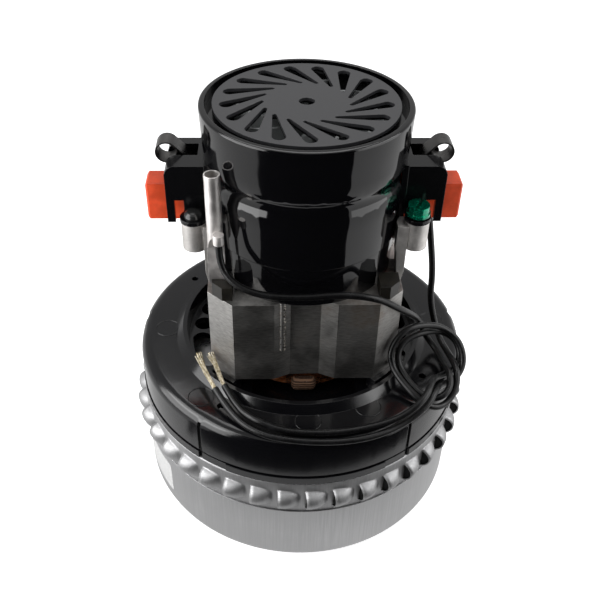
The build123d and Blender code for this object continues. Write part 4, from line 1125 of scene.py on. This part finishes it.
class VACUUM_MOTOR_OT_rotor(bpy.types.Operator):
    """Shaft, armature, commutator, fans and bearings"""

    bl_idname = "vacuum_motor.rotor"
    bl_label = "Rotor"

    def execute(self, context):
        ground = turned_metal("ground_steel", (0.56, 0.56, 0.56), 0.24)
        sheet = turned_metal("fan_sheet", (0.6, 0.6, 0.6), 0.36, "X", 300)
        for name in ("shaft", "shaft_nut", "shaft_washer", "fan_spacer", "bearing_spacer"):
            smooth_node(name, ground)
        for name in ("lower_air_fan", "upper_air_fan"):
            smooth_node(name, sheet)
        for place in ("lower", "upper"):
            for ring in ("outer", "inner"):
                smooth_node(place + "_bearing_" + ring, ground)
        smooth_node("armature_core", lamination_steel())
        smooth_node("armature_winding", enamelled_copper("armature_copper"))
        smooth_node("commutator", turned_metal("segment_copper", (0.62, 0.3, 0.16), 0.2))
        smooth_node("cooling_fan", moulded("fan_moulding", (0.3, 0.31, 0.31), 0.35))
        return {"FINISHED"}


class VACUUM_MOTOR_OT_studio(bpy.types.Operator):
    """Camera, floor, cards and soft lamps"""

    bl_idname = "vacuum_motor.studio"
    bl_label = "Studio"

    def execute(self, context):
        self.camera(context)
        self.world(context)
        self.floor()
        self.dark_card()
        power = context.scene.motor_finish.lamp_power
        for name, place, size, share in LAMPS:
            self.lamp(name, place, size, power * share)
        context.scene.view_settings.view_transform = "Standard"
        return {"FINISHED"}

    def camera(self, context):
        """Camera at the photograph's viewing angle."""
        data = bpy.data.cameras.new("photo_camera")
        data.lens = 47.52
        data.sensor_width = 36.0
        data.clip_start, data.clip_end = 0.01, 20.0
        camera = bpy.data.objects.new("photo_camera", data)
        right = Vector((0.99911, -0.03710, 0.02005))
        up = Vector((0.00784, 0.63054, 0.77610))
        ahead = Vector((0.04144, 0.77526, -0.63027))
        turn = Matrix((right, up, -ahead)).transposed().to_4x4()
        place = (-0.0152, -0.2717, 0.3069)
        camera.matrix_world = Matrix.Translation(place) @ turn
        context.scene.collection.objects.link(camera)
        context.scene.camera = camera

    def world(self, context):
        """White to the camera, paler grey to reflections and a plain grey for the light on the object."""
        world = bpy.data.worlds.new("studio_world")
        context.scene.world = world
        world.use_nodes = True
        tree = world.node_tree
        tree.nodes.clear()
        out = tree.nodes.new("ShaderNodeOutputWorld")
        path = tree.nodes.new("ShaderNodeLightPath")
        seen, glossy, light = (tree.nodes.new("ShaderNodeBackground") for _ in range(3))
        seen.inputs["Color"].default_value = (1, 1, 1, 1)
        glossy.inputs["Color"].default_value = (1, 1, 1, 1)
        glossy.inputs["Strength"].default_value = WORLD_MIRRORED
        light.inputs["Color"].default_value = (0.96, 0.97, 1, 1)
        light.inputs["Strength"].default_value = WORLD_LIGHT
        lit = self.by_ray(tree, self.mirrored_ray(tree, path), light.outputs[0], glossy.outputs[0])
        shown = self.by_ray(tree, path.outputs["Is Camera Ray"], lit, seen.outputs[0])
        tree.links.new(shown, out.inputs["Surface"])

    def mirrored_ray(self, tree, path):
        """One for a reflected or a transmitted ray."""
        either = tree.nodes.new("ShaderNodeMath")
        either.operation = "MAXIMUM"
        tree.links.new(path.outputs["Is Glossy Ray"], either.inputs[0])
        tree.links.new(path.outputs["Is Transmission Ray"], either.inputs[1])
        return either.outputs[0]

    def by_ray(self, tree, ray, otherwise, then):
        """A shader that is another one for one kind of ray."""
        node = tree.nodes.new("ShaderNodeMixShader")
        tree.links.new(ray, node.inputs["Fac"])
        tree.links.new(otherwise, node.inputs[1])
        tree.links.new(then, node.inputs[2])
        return node.outputs[0]

    def floor(self):
        """White table that keeps the object's shadow."""
        bm = bmesh.new()
        bmesh.ops.create_circle(bm, cap_ends=True, segments=64, radius=FLOOR_RADIUS)
        floor = self.stage_piece("floor", bm)
        made = Finish("white_table").set(
            Base_Color=(0.8, 0.8, 0.8, 1), Roughness=0.7, Specular_IOR_Level=0.1
        )
        tree = made.material.node_tree
        path = tree.nodes.new("ShaderNodeLightPath")
        glow = tree.nodes.new("ShaderNodeEmission")
        glow.inputs["Strength"].default_value = FLOOR_GLOW
        white = tree.nodes.new("ShaderNodeEmission")
        white.inputs["Strength"].default_value = FLOOR_MIRRORED
        add = tree.nodes.new("ShaderNodeAddShader")
        tree.links.new(made.shader.outputs[0], add.inputs[0])
        tree.links.new(glow.outputs[0], add.inputs[1])
        seen = self.by_ray(tree, path.outputs["Is Camera Ray"], made.shader.outputs[0], add.outputs[0])
        shown = self.by_ray(tree, self.mirrored_ray(tree, path), seen, white.outputs[0])
        tree.links.new(shown, tree.nodes["Material Output"].inputs["Surface"])
        floor.data.materials.append(made.material)

    def dark_card(self):
        """A dark card on the floor and behind the camera that only reflections see."""
        bm = bmesh.new()
        for outline, span in (NEAR_STRIP, WIDE_STRIP):
            points = [at_angle(reach, turn - 90, height) for reach, turn, height in outline]
            verts, edges = chain(bm, points)
            bmesh.ops.spin(
                bm,
                geom=verts + edges,
                cent=(0, 0, 0),
                axis=(0, 0, 1),
                angle=math.radians(span),
                steps=CARD_STEPS,
            )
        card = self.stage_piece("dark_card", bm)
        black = Finish("card_black").set(
            Base_Color=(0.004, 0.004, 0.004, 1), Roughness=0.9, Specular_IOR_Level=0.0
        )
        card.data.materials.append(black.material)
        for use in ("camera", "diffuse", "shadow", "transmission"):
            setattr(card, "visible_" + use, False)

    def stage_piece(self, name, bm):
        """A piece of the stage, which isn't part of the object."""
        mesh = bpy.data.meshes.new(name)
        bm.to_mesh(mesh)
        bm.free()
        piece = bpy.data.objects.new(name, mesh)
        bpy.context.scene.collection.objects.link(piece)
        return piece

    def lamp(self, name, place, size, power):
        """A softbox that faces the object."""
        data = bpy.data.lights.new(name, "AREA")
        data.shape = "RECTANGLE"
        data.size, data.size_y = size
        data.energy = power
        lamp = bpy.data.objects.new(name, data)
        aim = Vector((0, 0, min(place[2], AIM_HEIGHT))) - Vector(place)
        lamp.matrix_world = Matrix.Translation(place) @ aim.to_track_quat("-Z", "Y").to_matrix().to_4x4()
        bpy.context.scene.collection.objects.link(lamp)


OPERATORS = (
    VACUUM_MOTOR_OT_studio,
    VACUUM_MOTOR_OT_leads,
    VACUUM_MOTOR_OT_fan_case,
    VACUUM_MOTOR_OT_louvres,
    VACUUM_MOTOR_OT_bracket,
    VACUUM_MOTOR_OT_field,
    VACUUM_MOTOR_OT_cover,
    VACUUM_MOTOR_OT_end_bracket,
    VACUUM_MOTOR_OT_brush_gear,
    VACUUM_MOTOR_OT_rotor,
)


class VACUUM_MOTOR_PT_panel(bpy.types.Panel):
    """Lists the pieces of the vacuum motor unit"""

    bl_idname = "VACUUM_MOTOR_PT_panel"
    bl_label = "Vacuum motor unit"
    bl_space_type = "VIEW_3D"
    bl_region_type = "UI"
    bl_category = "Vacuum Motor"

    def draw(self, context):
        column = self.layout.column()
        for group in (context.scene.motor_sizes, context.scene.motor_finish):
            for name in group.__annotations__:
                column.prop(group, name)
        for operator in OPERATORS:
            column.operator(operator.bl_idname)


CLASSES = (MotorSizes, MotorFinish, *OPERATORS, VACUUM_MOTOR_PT_panel)


def register():
    for each in CLASSES:
        bpy.utils.register_class(each)
    bpy.types.Scene.motor_sizes = PointerProperty(type=MotorSizes)
    bpy.types.Scene.motor_finish = PointerProperty(type=MotorFinish)


def unregister():
    del bpy.types.Scene.motor_sizes
    del bpy.types.Scene.motor_finish
    for each in reversed(CLASSES):
        bpy.utils.unregister_class(each)


def main():
    """Makes every piece."""
    register()
    for operator in OPERATORS:
        group, call = operator.bl_idname.split(".")
        getattr(getattr(bpy.ops, group), call)()


if __name__ == "__main__":
    main()
